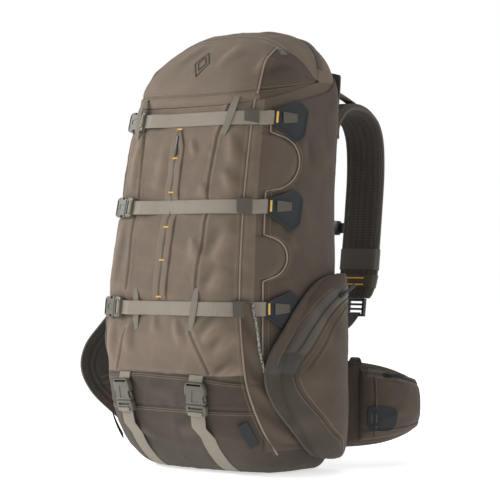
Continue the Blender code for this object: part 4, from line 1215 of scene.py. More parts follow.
class PACK_OT_side_panels(PackOperator):
    """The side panels, with their anchor patches, tabs and bar tacks"""

    bl_idname = "pack.side_panels"
    bl_label = "Side Panels"

    def build(self):
        for name, side in SIDES:
            self.panel(name, side)
            for row in ROWS:
                self.patch(name, row, side)
            self.toggle(name, side)

    def toggle(self, name, side):
        """A short tab at the upper scallop with the black end of a cord lock under it."""
        turn = np.array([side, 1, 1])
        heights = np.linspace(0.497, 0.478, 8)
        angles = np.full(8, -24.5)
        out = outward(angles, heights)
        line = (on_bag(angles, heights, bag_relief(angles, heights)[0] + 0.0012) * turn,
                np.cross(out, UP) * turn, out * turn, 0.0105, 0.0014)
        strap(f"toggle_tab_{name}", line, "ribbon", "pack")
        spot = surface(-23.5, 0.4745) + outward(-23.5, 0.4745) * 0.0052
        frame = clip_frame(spot * turn, np.array(UP), outward(-23.5, 0.4745) * turn)
        bead = rounded([(-0.0045, -0.0038), (0.0030, -0.0048), (0.0045, 0.0), (0.0030, 0.0048),
                        (-0.0045, 0.0038)], 0.0018)
        moulding(f"toggle_{name}", frame, "black", "pack", "black_plastic",
                 solid(plate(bead, -0.0030, 0.0030, 0.0014)))

    def shape(self, u, v):
        z = PANEL_BOTTOM + v * (ROWS["upper"] + 0.017 - PANEL_BOTTOM)
        start = panel_front(z)
        angle = start + u * (PANEL_REAR_ANGLE - start)
        return angle, z + np.maximum(0.0, v - 0.8) / 0.2 * (0.036 * u + 0.018 * smooth(0.7, 1.0, u))

    def relief(self, angle, z, u, v):
        edge = np.minimum(np.minimum(u * 0.11, (1 - u) * 0.11), np.minimum(v, 1 - v) * 0.4)
        out = 0.0024 + 0.0036 * smooth(0, 0.035, edge)
        for row in ROWS.values():
            out = out - 0.0020 * bell(z - row, 0.020) * smooth(0.45, 0.0, u) * smooth(0, 0.02, edge)
        points = np.stack([arc(angle), z, 0 * z], -1)
        marks = wrinkles(points, 5, 0.060, sizes().wrinkle * 1.2)
        for start, stop, width, share in (
                ((0.175, 0.500), (0.205, 0.452), 0.008, 0.9), ((0.170, 0.420), (0.215, 0.396), 0.009, 0.9),
                ((0.180, 0.352), (0.226, 0.372), 0.009, 1.0), ((0.176, 0.300), (0.220, 0.330), 0.009, 0.9),
                ((0.225, 0.480), (0.232, 0.430), 0.008, 0.7), ((0.200, 0.555), (0.230, 0.520), 0.008, 0.7)):
            marks = marks + fold(arc(angle), z, (start, stop), width, share * sizes().crease)
        marks = marks * smooth(0.002, 0.015, edge)
        rolled = rolled_off(edge, 0.003)
        out = (out + marks) * rolled + 0.0012 * (1 - rolled)
        # Painted shading: paler on folds, darker in creases and along the panel's rolled edge.
        return out, painted_shading_of(marks) - 0.5 * (rolled < 0.8)

    def panel(self, name, side):
        u, v = np.meshgrid(np.linspace(0, 1, 97), np.linspace(0, 1, 337))
        angle, z = self.shape(u, v)
        out, tone = self.relief(angle, z, u, v)
        turn = np.array([side, 1, 1])
        clay = Clay()
        slab(clay, on_bag(angle, z, out) * turn, on_bag(angle, z, 0.0010) * turn, 4, tone,
             cloth_uv(angle, z))
        piece = show(f"side_panel_cloth_{name}", clay, "side", "pack",
                     (f"side_panel_{name}",))
        share = np.linspace(0.28, 0.98, 90)
        rows = []
        for inset, lift in ((0.0, 0.0006), (0.05, 0.0003)):
            angle, z = self.shape(0 * share + inset, share)
            out = self.relief(angle, z, 0 * share + inset, share)[0]
            rows.append((on_bag(angle, z, out + lift) * turn, outward(angle, z) * turn))
        # Pale trim piping: painted highlight along the scalloped edge.
        piping(f"panel_edge_{name}", rows[:1], "pack", 0.0013, "trim", "shade_fabric")
        stitches(f"panel_stitches_{name}", rows[1:], "pack")

    def patch(self, name, row, side):
        turn = np.array([side, 1, 1])
        centre = np.array([-27.0, ROWS[row] - 0.004])
        outline = rounded([(-37.5, -0.012), (-37.5, 0.010), (-24.0, 0.025), (-17.0, 0.012), (-19.0, -0.026),
                           (-24.5, -0.036)] @ np.diag([0.0024, 1.0]), 0.004, 5) @ np.diag([1 / 0.0024, 1.0])
        outline = outline + (0, ROWS[row])
        low = PANEL_CLEAR + PANEL_THICKNESS + LAYER_GAP
        clay = Clay()
        # Shading painted on the patch: light on its raised rim, shade in the step inside it.
        rings, ring_shading = [], []
        for share, rise, tone in ((1.0, 0.0, 0), (1.0, 0.7, 0.6), (0.975, 1.0, 0.8), (0.93, 1.0, 0.2),
                                  (0.90, 0.75, -0.4), (0.6, 0.8, 0), (0.25, 0.8, 0)):
            spots = centre + (outline - centre) * share
            rings.append(on_bag(spots[:, 0], spots[:, 1], low + rise * PATCH_THICKNESS) * turn)
            ring_shading += [tone] * len(spots)
        loft(clay, rings, tone=ring_shading)
        label = f"{name}_{row}"
        show(f"patch_{label}", clay, "rubber", "pack", (f"anchor_patch_{label}",))
        top = low + PATCH_THICKNESS
        heights = np.linspace(-0.0075, 0.0075, 8) + ROWS[row]
        bars(f"tack_{label}", [(on_bag(-36.4, heights, top + 0.0006) * turn, outward(-36.4, heights) * turn)],
             "pack", 0.0040)
        angles = np.linspace(-33.5, -25.5, 12)
        shares = np.linspace(0, 1, 12)
        normal = outward(angles, ROWS[row])
        line = (on_bag(angles, ROWS[row], top + 0.0004) * turn, np.broadcast_to(UP, (12, 3)), normal * turn,
                0.0165 - 0.0050 * shares, 0.0013)
        strap(f"tab_{label}", line, "dark_webbing", "pack")


def side_release(name, frame, web):
    """A side-release clip: a windowed socket, a two-pronged clip with its ladder bars and a webbing roll."""
    wall, fit, prong = 0.0018, 0.0006, 0.0022
    half = web / 2 + fit + prong
    wide = half + fit + wall
    length, reach, top = 1.25 * web, 0.62 * web, 0.0023 + wall
    shell = rounded([(-length, -0.80 * wide), (-0.72 * length, -wide), (-0.02 * length, -0.94 * wide),
                     (0, -0.86 * wide), (0, 0.86 * wide), (-0.02 * length, 0.94 * wide),
                     (-0.72 * length, wide), (-length, 0.80 * wide)], 0.0022)
    body = solid(plate(shell, -top, top, 0.0013))
    cuts = [box_solid((-length + 0.0096, -half - fit, -0.0023), (0.01, half + fit, 0.0023))]
    for side in (1, -1):
        near, far, past = side * (wide - 0.0034), side * (wide - 0.0042), side * (wide + 0.01)
        window = rounded([(-0.86 * reach, far), (-0.22 * reach, near), (-0.22 * reach, past),
                          (-0.86 * reach, past)], 0.0012)
        cuts.append(prism(window, -0.02, 0.02))
    cuts.append(box_solid((-length + 0.0016, -web / 2, -0.02), (-length + 0.0046, web / 2, 0.02)))
    groove = rounded([(-0.80 * length + 0.004, -0.20 * wide), (-0.12 * length, -0.34 * wide),
                      (-0.12 * length, 0.34 * wide), (-0.80 * length + 0.004, 0.20 * wide)], 0.0010)
    cuts.append(prism(groove, top - 0.0008, top + 0.01))
    moulding(f"{name}_socket_shell", frame, "plastic", "pack", "clip_plastic", carve(body, cuts),
             stands_for=(f"{name}_socket",))

    base = rounded([(GAP, -0.84 * wide), (0.004, -wide), (0.0150, -0.92 * wide), (0.0165, -0.80 * wide),
                    (0.0165, 0.80 * wide), (0.0150, 0.92 * wide), (0.004, wide), (GAP, 0.84 * wide)], 0.0016)
    solids = [carve(solid(plate(base, -top, top, 0.0013)), [
        box_solid((0.0042, -web / 2, -0.02), (0.0070, web / 2, 0.02)),
        box_solid((0.0098, -web / 2, -0.02), (0.0126, web / 2, 0.02))])]
    for side in (1, -1):
        arm = rounded([(0.001, side * (half - prong)), (0.001, side * half), (-0.20 * reach, side * half),
                       (-0.30 * reach, side * (wide - 0.0004)), (-0.70 * reach, side * (wide - 0.0004)),
                       (-reach, side * (half - 0.001)), (-reach, side * (half - prong - 0.001)),
                       (-0.5 * reach, side * (half - prong))], 0.0008)
        solids.append(solid(plate(arm, -0.0017, 0.0017, 0.0006)))
    tongue = rounded([(0.001, -0.0018), (0.001, 0.0018), (-0.8 * reach, 0.0011), (-0.8 * reach, -0.0011)],
                     0.0006)
    solids.append(solid(plate(tongue, -0.0015, 0.0015, 0.0005)))
    moulding(f"{name}_prongs", frame, "plastic", name, "clip_plastic", *solids, stands_for=(f"{name}_clip",))

    turn = np.linspace(0, 2 * np.pi, 15)[:-1]
    rings, uv = [], []
    for k, y in enumerate(np.linspace(-web / 2 + 0.0008, web / 2 - 0.0008, 5)):
        squeeze = 0.86 if k in (0, 4) else 1.0
        rings.append(placed([(0.0135 + 0.0032 * squeeze * math.cos(t), y, top + 0.0004
                              + 0.0022 * squeeze * math.sin(t)) for t in turn], frame))
        uv.append([(0.004 * t, y) for t in turn])
    clay = Clay()
    loft(clay, rings, uv)
    show(f"{name}_roll", clay, "webbing", name)


class PACK_OT_compression(PackOperator):
    """The three straps across the front with their clips, keepers and ribbons"""

    bl_idname = "pack.compression"
    bl_label = "Compression Straps"

    def build(self):
        for row, z in ROWS.items():
            frame = self.clip_place(z)
            name = f"compression_{row}"
            side_release(name, frame, COMPRESSION_WEB)
            self.strap(name, row, frame, z)
            self.anchor(name, frame, z)
        for k, (start, stop, lift) in enumerate((
                ((0.106, 0.535), (0.090, 0.478), 0.0046), ((-0.097, 0.536), (-0.093, 0.476), 0.0105),
                ((-0.046, 0.262), (-0.040, 0.204), 0.0046), ((0.068, 0.264), (0.060, 0.204), 0.0046))):
            self.ribbon_loop(f"ribbon_{k}", start, stop, lift)

    def clip_place(self, z):
        clear = 0.0023 + 0.0018 + GAP + 0.0010
        angle = float(angle_at(CLIP_X, z))
        out = outward(angle, z)
        around = unit(np.cross(surface(angle, z + 0.002) - surface(angle, z - 0.002), out))
        return clip_frame(surface(angle, z) + out * clear, around, out)

    def strap(self, name, row, frame, z):
        straight = 0.0165 + CLIP_TRAVEL + 0.004
        end = placed((straight, 0, 0), frame)
        start = float(angle_at(end[0] + 0.030, z))
        angles = np.linspace(start, PANEL_FRONT_ANGLE + 0.6, 60)
        sag = 0.0009 * np.sin(np.linspace(0, np.pi, 60)) + 0.0003 * np.sin(np.linspace(0, 9, 60) + z * 40)
        sag += 0.0052 * smooth(-41.5, -38.0, angles)
        centres = np.vstack([placed([(GAP, 0, 0.0004), (0.5 * straight, 0, 0), (straight, 0, 0)], frame),
                             on_bag(angles, z, STRAP_LIFT + sag)])
        centres = spline(centres[[0, 1, 2]], 6)[:-1].tolist() + centres[3:].tolist()
        centres = np.array(centres)
        normal = outward(angle_at(centres[:, 0], z), z)
        across = np.broadcast_to(UP, centres.shape)
        across = unit(across - normal * np.sum(across * normal, -1, keepdims=True))
        line = (centres, across, normal, COMPRESSION_WEB, WEB_THICKNESS)
        piece = strap(f"{name}_strap", line, "webbing", "pack", (f"{name}_webbing",))
        angles = np.linspace(-50.5, -44.0, 9)
        clay = Clay()
        for lift in (0.0013, -0.0013):
            ribbon(clay, on_bag(angles, z, STRAP_LIFT + 0.0008 + lift), np.broadcast_to(UP, (9, 3)),
                   outward(angles, z), COMPRESSION_WEB + 0.0030, 0.0009)
        show(f"{name}_keeper", clay, "dark_webbing", "pack")

    def anchor(self, name, frame, z):
        """The short webbing loop that holds the socket to the left panel."""
        far = placed((-1.25 * COMPRESSION_WEB + 0.003, 0, 0), frame)
        start = float(angle_at(far[0], z))
        angles = np.linspace(start - 3, -180 - PANEL_FRONT_ANGLE, 14)
        lift = np.linspace(0.0050, 0.0084, 14)
        centres = np.vstack([far[None], on_bag(angles, z, lift)])
        normal = np.vstack([outward(start, z)[None], outward(angles, z)])
        across = np.broadcast_to(UP, centres.shape)
        line = (centres, across, normal, COMPRESSION_WEB * 0.96, WEB_THICKNESS)
        strap(f"{name}_anchor", line, "webbing", "pack")

    def ribbon_loop(self, name, start, stop, lift):
        """A narrow ribbon sewn over a strap."""
        share = np.linspace(0, 1, 24)
        s = start[0] + (stop[0] - start[0]) * share
        z = start[1] + (stop[1] - start[1]) * share
        angle = angle_of(s)
        s = s + 0.0042 * np.sin(2 * np.pi * share)
        rise = np.sin(np.pi * share) ** 0.35
        centres = on_bag(angle, z, bag_relief(angle, z)[0] * (1 - rise) + 0.0005 + lift * rise)
        normal = outward(angle, z)
        width = 0.0120 * (0.30 + 0.70 * np.sin(np.pi * np.clip(share, 0.02, 0.98)) ** 0.45)
        strap(name, (centres, beside(centres, normal), normal, width, 0.0008), "ribbon", "pack")


class PACK_OT_lash(PackOperator):
    """The two lower straps with their clips"""

    bl_idname = "pack.lash"
    bl_label = "Lash Straps"

    def build(self):
        for name, side in SIDES:
            x = side * LASH_X
            angle = float(angle_at(x, LASH_Z))
            out = outward(angle, LASH_Z)
            up = unit(surface(angle, LASH_Z + 0.002) - surface(angle, LASH_Z - 0.002))
            clear = 0.0023 + 0.0018 + GAP + 0.0022
            frame = clip_frame(surface(angle, LASH_Z) + out * clear, -up, out)
            label = f"lash_{name}"
            side_release(label, frame, LASH_WEB)
            straight = 0.0165 + CLIP_TRAVEL + 0.002
            end = placed((straight, 0, 0), frame)
            lead = placed([(reach, 0, 0) for reach in (GAP, 0.3 * straight, 0.7 * straight, straight)], frame)
            heights = np.linspace(end[2] - 0.014, 0.006, 24)
            angles = angle_at(x, heights)
            centres = np.vstack([lead, on_bag(angles, heights, STRAP_LIFT)])
            normals = np.vstack([np.broadcast_to(out, (4, 3)), outward(angles, heights)])
            across = frame[:3, 1] - normals * (normals @ frame[:3, 1])[:, None]
            line = (centres, unit(across), normals, LASH_WEB, WEB_THICKNESS)
            piece = strap(f"{label}_strap", line, "webbing", "pack", (f"{label}_webbing",))
            far = placed((-1.25 * LASH_WEB + 0.003, 0, 0), frame)
            heights = np.linspace(far[2] + 0.002, 0.143, 8)
            angles = angle_at(x, heights)
            centres = np.vstack([far[None], on_bag(angles, heights, np.linspace(0.0052, 0.0016, 8))])
            normals = np.vstack([out[None], outward(angles, heights)])
            line = (centres, np.broadcast_to(frame[:3, 1], centres.shape), normals, LASH_WEB * 0.96,
                    WEB_THICKNESS * 1.6)
            strap(f"{label}_tab", line, "webbing", "pack")


ZIP_TOP = ROWS["upper"] - 0.014
ZIP_BOTTOM = ROWS["lower"] + 0.012


class PACK_OT_front_zip(PackOperator):
    """The covered zip down the front with its bar tacks and slider"""

    bl_idname = "pack.front_zip"
    bl_label = "Front Zip"

    def build(self):
        heights = np.linspace(ZIP_BOTTOM, ZIP_TOP, 120)
        clay = Clay()
        for side in (1, -1):
            half = 0.0125 * np.clip((ZIP_TOP - heights) / 0.026, 0.02, 1) ** 0.6
            u = np.linspace(0, 1, 13)
            x = side * (0.0006 + u[None, :] * half[:, None])
            z = np.broadcast_to(heights[:, None], x.shape)
            angle = angle_at(x, z)
            edge = np.minimum(u[None, :], 1 - u[None, :]) * half[:, None]
            plump = 0.0010 + 0.0013 * np.sqrt(np.clip(edge / 0.0022, 0, 1))
            plump = plump + 0.0004 * np.sin(z * 2 * np.pi / 0.043 + side)
            for row in ROWS.values():
                plump = plump * (1 - 0.75 * np.exp(-((z - row) / 0.013) ** 4))
            relief = bag_relief(angle, z)[0]
            # Painted shading: the flaps a little lighter, with painted shade along their edges.
            slab(clay, on_bag(angle, z, relief + plump), on_bag(angle, z, 0 * z - 0.0005), 1,
                 0.2 - 0.9 * (edge < 0.0009))
        flaps = show("zip_flaps", clay, "shell", "pack", ("front_zip_tape",))
        angle = angle_at(0 * heights, heights)
        out = bag_relief(angle, heights)[0]
        line = (on_bag(angle, heights, out + 0.0012), outward(angle, heights))
        teeth("front_zip_coil", [line], "pack", 0.0030)
        tacks = []
        for z in (0.4890, 0.4470, 0.3985, 0.3490, 0.3020, 0.2510):
            x = np.linspace(-0.0045, 0.0045, 6)
            angle = angle_at(x, z)
            tacks.append((on_bag(angle, z, bag_relief(angle, z)[0] + 0.0027), outward(angle, z)))
        bars("front_zip_tacks", tacks, "pack", 0.0026)
        self.slider()

    def slider(self):
        high = surface(-90, ZIP_TOP - 0.006)
        low = surface(-90, ROWS["middle"] + 0.026)
        along = unit(high - low)
        out = np.array([0, -along[2], along[1]])
        frame = clip_frame(high + out * 0.0042, along, out)
        pull("front_zip_pull", frame, "front_zip", "front_zip_slider")


# ---------------------------------------------------------------- side pockets

POCKET_BASE = 0.026
POCKET_HEIGHT = 0.258
POCKET_BULGE = 0.034
POCKET_SAG = 0.85
POCKET_EDGE = 0.004
POCKET_FLARE = 36.0
POCKET_REAR_ANGLE = 14.0
POCKET_OUTLINE = (  # share of the pocket's height, front edge angle
    (0.00, -6.0), (0.06, -16.0), (0.18, -27.0), (0.30, -35.0), (0.43, -38.5), (0.56, -36.5), (0.68, -30.0),
    (0.83, -20.0), (0.95, -6.0), (1.00, 10.0))
POCKET_CLEAR = PANEL_CLEAR + PANEL_THICKNESS + PATCH_THICKNESS + 2 * LAYER_GAP
OUTER_BAND = 0.015
ZIP_BAND = 0.034
INNER_BAND = 0.046
FOOT_BAND = 0.034
BAND_TURN_Z = 0.152
APRON_EDGE = (  # height, angle of the apron's free edge
    (0.048, -14.9), (0.093, -28.7), (0.137, -37.0), (0.179, -40.2), (0.232, -42.6), (0.250, -43.2))


POCKET_CURVE = spline([(100 * share, angle) for share, angle in POCKET_OUTLINE], 10) / (100, 1)


def pocket_front(share):
    return np.interp(share, POCKET_CURVE[:, 0], POCKET_CURVE[:, 1])


def pocket_hinge(side):
    shares = np.array((0.1, 0.3, 0.5, 0.7, 0.9))
    p = on_bag(POCKET_REAR_ANGLE, POCKET_BASE + shares * POCKET_HEIGHT, POCKET_CLEAR)
    return np.array([side * p[:, 0].min(), p[:, 1].max() + 0.001, POCKET_BASE + POCKET_HEIGHT / 2])


class Pocket:
    """One side pocket: its surface, its bands and where they lie."""

    def __init__(self, name, side, flare):
        self.name, self.side = name, side
        hinge = pocket_hinge(side)
        turn = Matrix.Rotation(math.radians(side * flare), 4, "Z")
        place = Matrix.Translation(hinge) @ turn @ Matrix.Translation(-Vector(hinge))
        self.place = np.array(place)
        share = np.linspace(0, 1, 60)
        self.outline = np.column_stack([arc(pocket_front(share)), POCKET_BASE + share * POCKET_HEIGHT])

    def spot(self, u, v):
        start = pocket_front(v)
        return start + u * (POCKET_REAR_ANGLE - start), POCKET_BASE + v * POCKET_HEIGHT

    def point(self, angle, z, out):
        return placed((on_bag(angle, z, out) * (self.side, 1, 1)).reshape(-1, 3), self.place).reshape(
            *np.broadcast_shapes(np.shape(angle), np.shape(z), np.shape(out)), 3)

    def lift(self, angle, z):
        return (outward(angle, z) * (self.side, 1, 1)) @ self.place[:3, :3].T

    def inset(self, angle, z):
        """Distance in from the front edge."""
        d, _ = from_line(arc(angle), z, self.outline)
        return np.abs(d)

    def relief(self, angle, z):
        angle, z = np.broadcast_arrays(np.asarray(angle, float), np.asarray(z, float))
        v = (z - POCKET_BASE) / POCKET_HEIGHT
        start = pocket_front(v)
        u = np.clip((angle - start) / (POCKET_REAR_ANGLE - start), 0, 1)
        along = np.sin(np.pi * np.clip((u - 0.12) / 0.88, 0, 1)) ** 0.7
        swell = along * np.sin(np.pi * np.clip(v, 0, 1) ** POCKET_SAG) ** 0.45
        d = self.inset(angle, z)
        upper = smooth(BAND_TURN_Z - 0.004, BAND_TURN_Z + 0.004, z)
        marks = np.zeros(d.shape)
        for inset, share in ((OUTER_BAND, upper), (ZIP_BAND, upper), (INNER_BAND, upper),
                             (FOOT_BAND, 1 - upper)):
            marks += share * (0.0004 * bell(np.abs(d - inset) - 0.0045, 0.003)
                              - 0.0011 * bell(d - inset, 0.0014))
        points = np.stack([arc(angle), z, 0 * z], -1)
        for start_at, stop, width, share in (
                ((0.225, 0.250), (0.240, 0.170), 0.012, 0.6), ((0.190, 0.120), (0.232, 0.152), 0.014, 0.5),
                ((0.196, 0.060), (0.228, 0.090), 0.012, 0.6)):
            marks += fold(arc(angle), z, (start_at, stop), width, share * sizes().crease)
        marks += wrinkles(points, 21, 0.060, sizes().wrinkle)
        edge = np.minimum(d, 0.2 * (1 - u))
        rolled = rolled_off(edge, 0.004)
        bloat = 0.0030 * smooth(0, 0.020, edge)
        out = POCKET_CLEAR + (POCKET_EDGE + POCKET_BULGE * swell + bloat + marks * smooth(0, 0.004, edge)) * (
            0.35 + 0.65 * rolled)
        # Painted highlight on the folds and band shoulders, painted shade in the seams.
        return out, painted_shading_of(marks)

    def line(self, inset, low, high, lift, count=60):
        """A line at a distance in from the front edge, between two heights."""
        z = np.linspace(low, high, count)
        best = arc(pocket_front((z - POCKET_BASE) / POCKET_HEIGHT)) + inset
        for _ in range(12):
            best = best + 0.8 * (inset - self.inset(angle_of(best), z))
        angle = angle_of(best)
        return self.point(angle, z, self.relief(angle, z)[0] + lift), self.lift(angle, z)


class PACK_OT_side_pockets(PackOperator):
    """The two side pockets with their zips, bands and inner faces; the left one stands open"""

    bl_idname = "pack.side_pockets"
    bl_label = "Side Pockets"

    def build(self):
        for (name, side), flare in zip(SIDES, (0.0, POCKET_FLARE)):
            pocket = Pocket(name, side, flare)
            self.outside(pocket)
            self.inside(pocket)
            self.trims(pocket)
            self.apron(name, side)

    def outside(self, pocket):
        name = f"side_pocket_{pocket.name}"
        u, v = np.meshgrid(np.linspace(0, 1, 161), np.linspace(0, 1, 241))
        angle, z = pocket.spot(u, v)
        out, tone = pocket.relief(angle, z)
        clay = Clay()
        slab(clay, pocket.point(angle, z, out), pocket.point(angle, z, POCKET_CLEAR + 0.0004), 4, tone,
             cloth_uv(angle, z), 0)
        d = pocket.inset(angle, z)[:-1, :-1] + 0.0008
        height = z[:-1, :-1]
        index = np.zeros(d.shape, int)
        index[(d > OUTER_BAND) & (d < ZIP_BAND) & (height > BAND_TURN_Z + 0.020) & (height < 0.277)] = 1
        tip = BAND_TURN_Z + 0.024 - 0.55 * np.abs(d - 0.022)
        index[(d < ZIP_BAND + 0.002) & (height > BAND_TURN_Z - 0.006) & (height < tip)] = 2
        index[(d < FOOT_BAND) & (height <= BAND_TURN_Z - 0.006)] = 3
        clay.index[:index.size] = index.ravel().tolist()
        piece = show(f"{name}_cloth", clay, "side zip coated base_side", name, (name,))

    def inside(self, pocket):
        name = f"side_pocket_{pocket.name}"
        u, v = np.meshgrid(np.linspace(0.01, 0.99, 97), np.linspace(0.01, 0.99, 145))
        angle, z = pocket.spot(u, v)
        d = pocket.inset(angle, z)
        points = np.stack([arc(angle), z, 0 * z], -1)
        dip = 0.0012 * bell(d - 0.012, 0.0022) + 0.0010 * bell(d - 0.020, 0.002)
        out = POCKET_CLEAR - 0.0010 * smooth(0, 0.004, d) + dip + wrinkles(points, 31, 0.045, 0.0006)
        clay = Clay()
        # Painted shade in the two dips along the inner face's front edge.
        slab(clay, pocket.point(angle, z, np.minimum(out, POCKET_CLEAR + 0.0002)),
             pocket.point(angle, z, POCKET_CLEAR + 0.0016), 4, -dip / 0.0016, cloth_uv(angle, z))
        low = (z < 0.105 + 0.35 * (arc(angle) - arc(-30)))[:-1, :-1]
        clay.index[:low.size] = low.astype(int).ravel().tolist()
        show(f"{name}_inner_face", clay, "lining side", name)
        s = np.linspace(arc(-30), arc(-8), 30)
        z = 0.118 + 0.35 * (s - arc(-30))
        angle = angle_of(s)
        centres, normal = pocket.point(angle, z, POCKET_CLEAR - 0.0012 + 0 * z), -pocket.lift(angle, z)
        line = (centres, beside(centres, normal), normal, 0.014, 0.0010)
        strap(f"{name}_inner_zip", line, "zip", name)
        teeth(f"{name}_inner_coil", [(centres + normal * 0.0006, normal)], name)

    def trims(self, pocket):
        name = f"side_pocket_{pocket.name}"
        low, high = POCKET_BASE + 0.004, POCKET_BASE + POCKET_HEIGHT - 0.004
        z = np.linspace(low, high, 90)
        front = pocket_front((z - POCKET_BASE) / POCKET_HEIGHT)
        rims = []
        for out in (POCKET_CLEAR + 0.0002, POCKET_CLEAR + POCKET_EDGE * 0.6):
            rims.append((pocket.point(front, z, out + 0 * z), pocket.lift(front, z)))
        rear = 0 * z + POCKET_REAR_ANGLE
        rims.append((pocket.point(rear, z, POCKET_CLEAR + 0.002 + 0 * z), pocket.lift(rear, z)))
        piping(f"{name}_rim", rims[:1], name, 0.0016, "dark_webbing", "dark_webbing")
        piping(f"{name}_edge", rims[1:], name, 0.0014, "side", "shade_fabric")
        cord = [pocket.line(FOOT_BAND, 0.034, BAND_TURN_Z - 0.004, 0.0006),
                pocket.line(INNER_BAND, BAND_TURN_Z, 0.262, 0.0002)]
        piping(f"{name}_piping", cord, name, 0.0009, "side", "shade_fabric")
        rows = [pocket.line(inset, low_z, high_z, 0.0002) for inset, low_z, high_z in (
            (OUTER_BAND - 0.003, 0.160, 0.262), (ZIP_BAND + 0.003, 0.160, 0.262),
            (INNER_BAND + 0.003, 0.160, 0.255), (FOOT_BAND + 0.0035, 0.040, 0.140),
            (FOOT_BAND - 0.0035, 0.040, 0.140))]
        stitches(f"{name}_stitches", rows, name)
        middle = (OUTER_BAND + ZIP_BAND) / 2
        teeth(f"{name}_coil", [pocket.line(middle, 0.176, 0.262, 0.0004)], name, 0.0026)
        centres, normal = pocket.line(middle, 0.262, 0.276, 0.0030, 10)
        strap(f"{name}_garage", (centres, beside(centres, normal), normal, 0.020, 0.0016), "rubber", name)
        lowest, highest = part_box(f"side_zip_slider_{pocket.name}")
        centre = (np.array(lowest) + np.array(highest)) / 2
        line, lifts = pocket.line(middle, 0.20, 0.26, 0.0)
        near = int(np.argmin(np.linalg.norm(line - centre, axis=1)))
        run = unit(line[max(near - 1, 0)] - line[min(near + 1, len(line) - 1)])
        pull(f"side_zip_pull_{pocket.name}", clip_frame(line[near] + lifts[near] * 0.0016 - run * 0.006, run,
                                                       unit(lifts[near] - run * np.dot(run, lifts[near]))),
             f"side_zip_{pocket.name}", f"side_zip_slider_{pocket.name}")

    def apron(self, name, side):
        """The folded strip of cloth in front of a side pocket, its flecked edge and its rubber tab."""
        turn = np.array([side, 1, 1])
        heights = np.linspace(0.046, 0.246, 90)
        seam_s, seam_z = zip(*CORNER_SEAM[::-1])
        corner = angle_of(np.interp(heights, seam_z, seam_s))
        rear = np.interp(heights, *zip(*APRON_EDGE))
        u = np.linspace(0, 1, 21)[None, :]
        angle = corner[:, None] + u * (rear - corner)[:, None]
        z = np.broadcast_to(heights[:, None], angle.shape)
        base = bag_relief(angle, z)[0]
        bow = np.sin(np.pi * np.clip(u, 0, 1)) ** 0.6
        slack = 0.0018 * np.sin(z * 2 * np.pi / 0.060 + 4 * u) * bow
        out = base + 0.0012 + 0.0042 * u ** 0.8 + slack + 0.0010 * bow
        clay = Clay()
        # Painted shading follows the slack: lighter on its ridges, darker in its troughs.
        slab(clay, on_bag(angle, z, out)[:89] * turn, on_bag(angle, z, 0 * z)[:89] * turn, 4,
             slack[:89] / 0.003, cloth_uv(angle, z)[:89])
        show(f"apron_{name}", clay, "side", "pack")
        edge = slice(34, 88)
        line = (on_bag(rear, heights, out[:, -1] + 0.0008)[edge] * turn, outward(rear, heights)[edge] * turn)
        piping(f"flecked_edge_{name}", [line], "pack", 0.0021, "fleck", "dark_webbing")
        heights = np.linspace(0.046, 0.078, 9)
        angles = np.interp(heights, (0.046, 0.078), (-41.0, -46.0)) - 1.5
        out = outward(angles, heights)
        line = (on_bag(angles, heights, 0.0062) * turn, np.cross(out, run_of(on_bag(angles, heights))) * turn,
                out * turn, 0.015, 0.0018)
        strap(f"rubber_tab_{name}", line, "rubber", "pack")


def pull(name, frame, body, node):
    """A zip slider with its pull tab lying along X."""
    slider = rounded([(-0.012, -0.0034), (-0.006, -0.0042), (0, -0.0030), (0, 0.0030), (-0.006, 0.0042),
                      (-0.012, 0.0034)], 0.0015)
    tab = rounded([(-0.032, -0.0032), (-0.008, -0.0018), (-0.003, -0.0018), (-0.003, 0.0018),
                   (-0.008, 0.0018), (-0.032, 0.0032)], 0.0014)
    moulding(name, frame, "black", body, "black_plastic", solid(plate(slider, 0.0, 0.0022, 0.0007)),
             solid(plate(tab, 0.0026, 0.0044, 0.0006)), stands_for=(node,))


# ---------------------------------------------------------------- framed back

SHEET_OUT = LAYER_GAP
FOAM_OUT = SHEET_OUT + 0.002 + GAP + 0.003 + GAP
BACK_FOAM = 0.006
PAD_OUT = FOAM_OUT + BACK_FOAM + LAYER_GAP


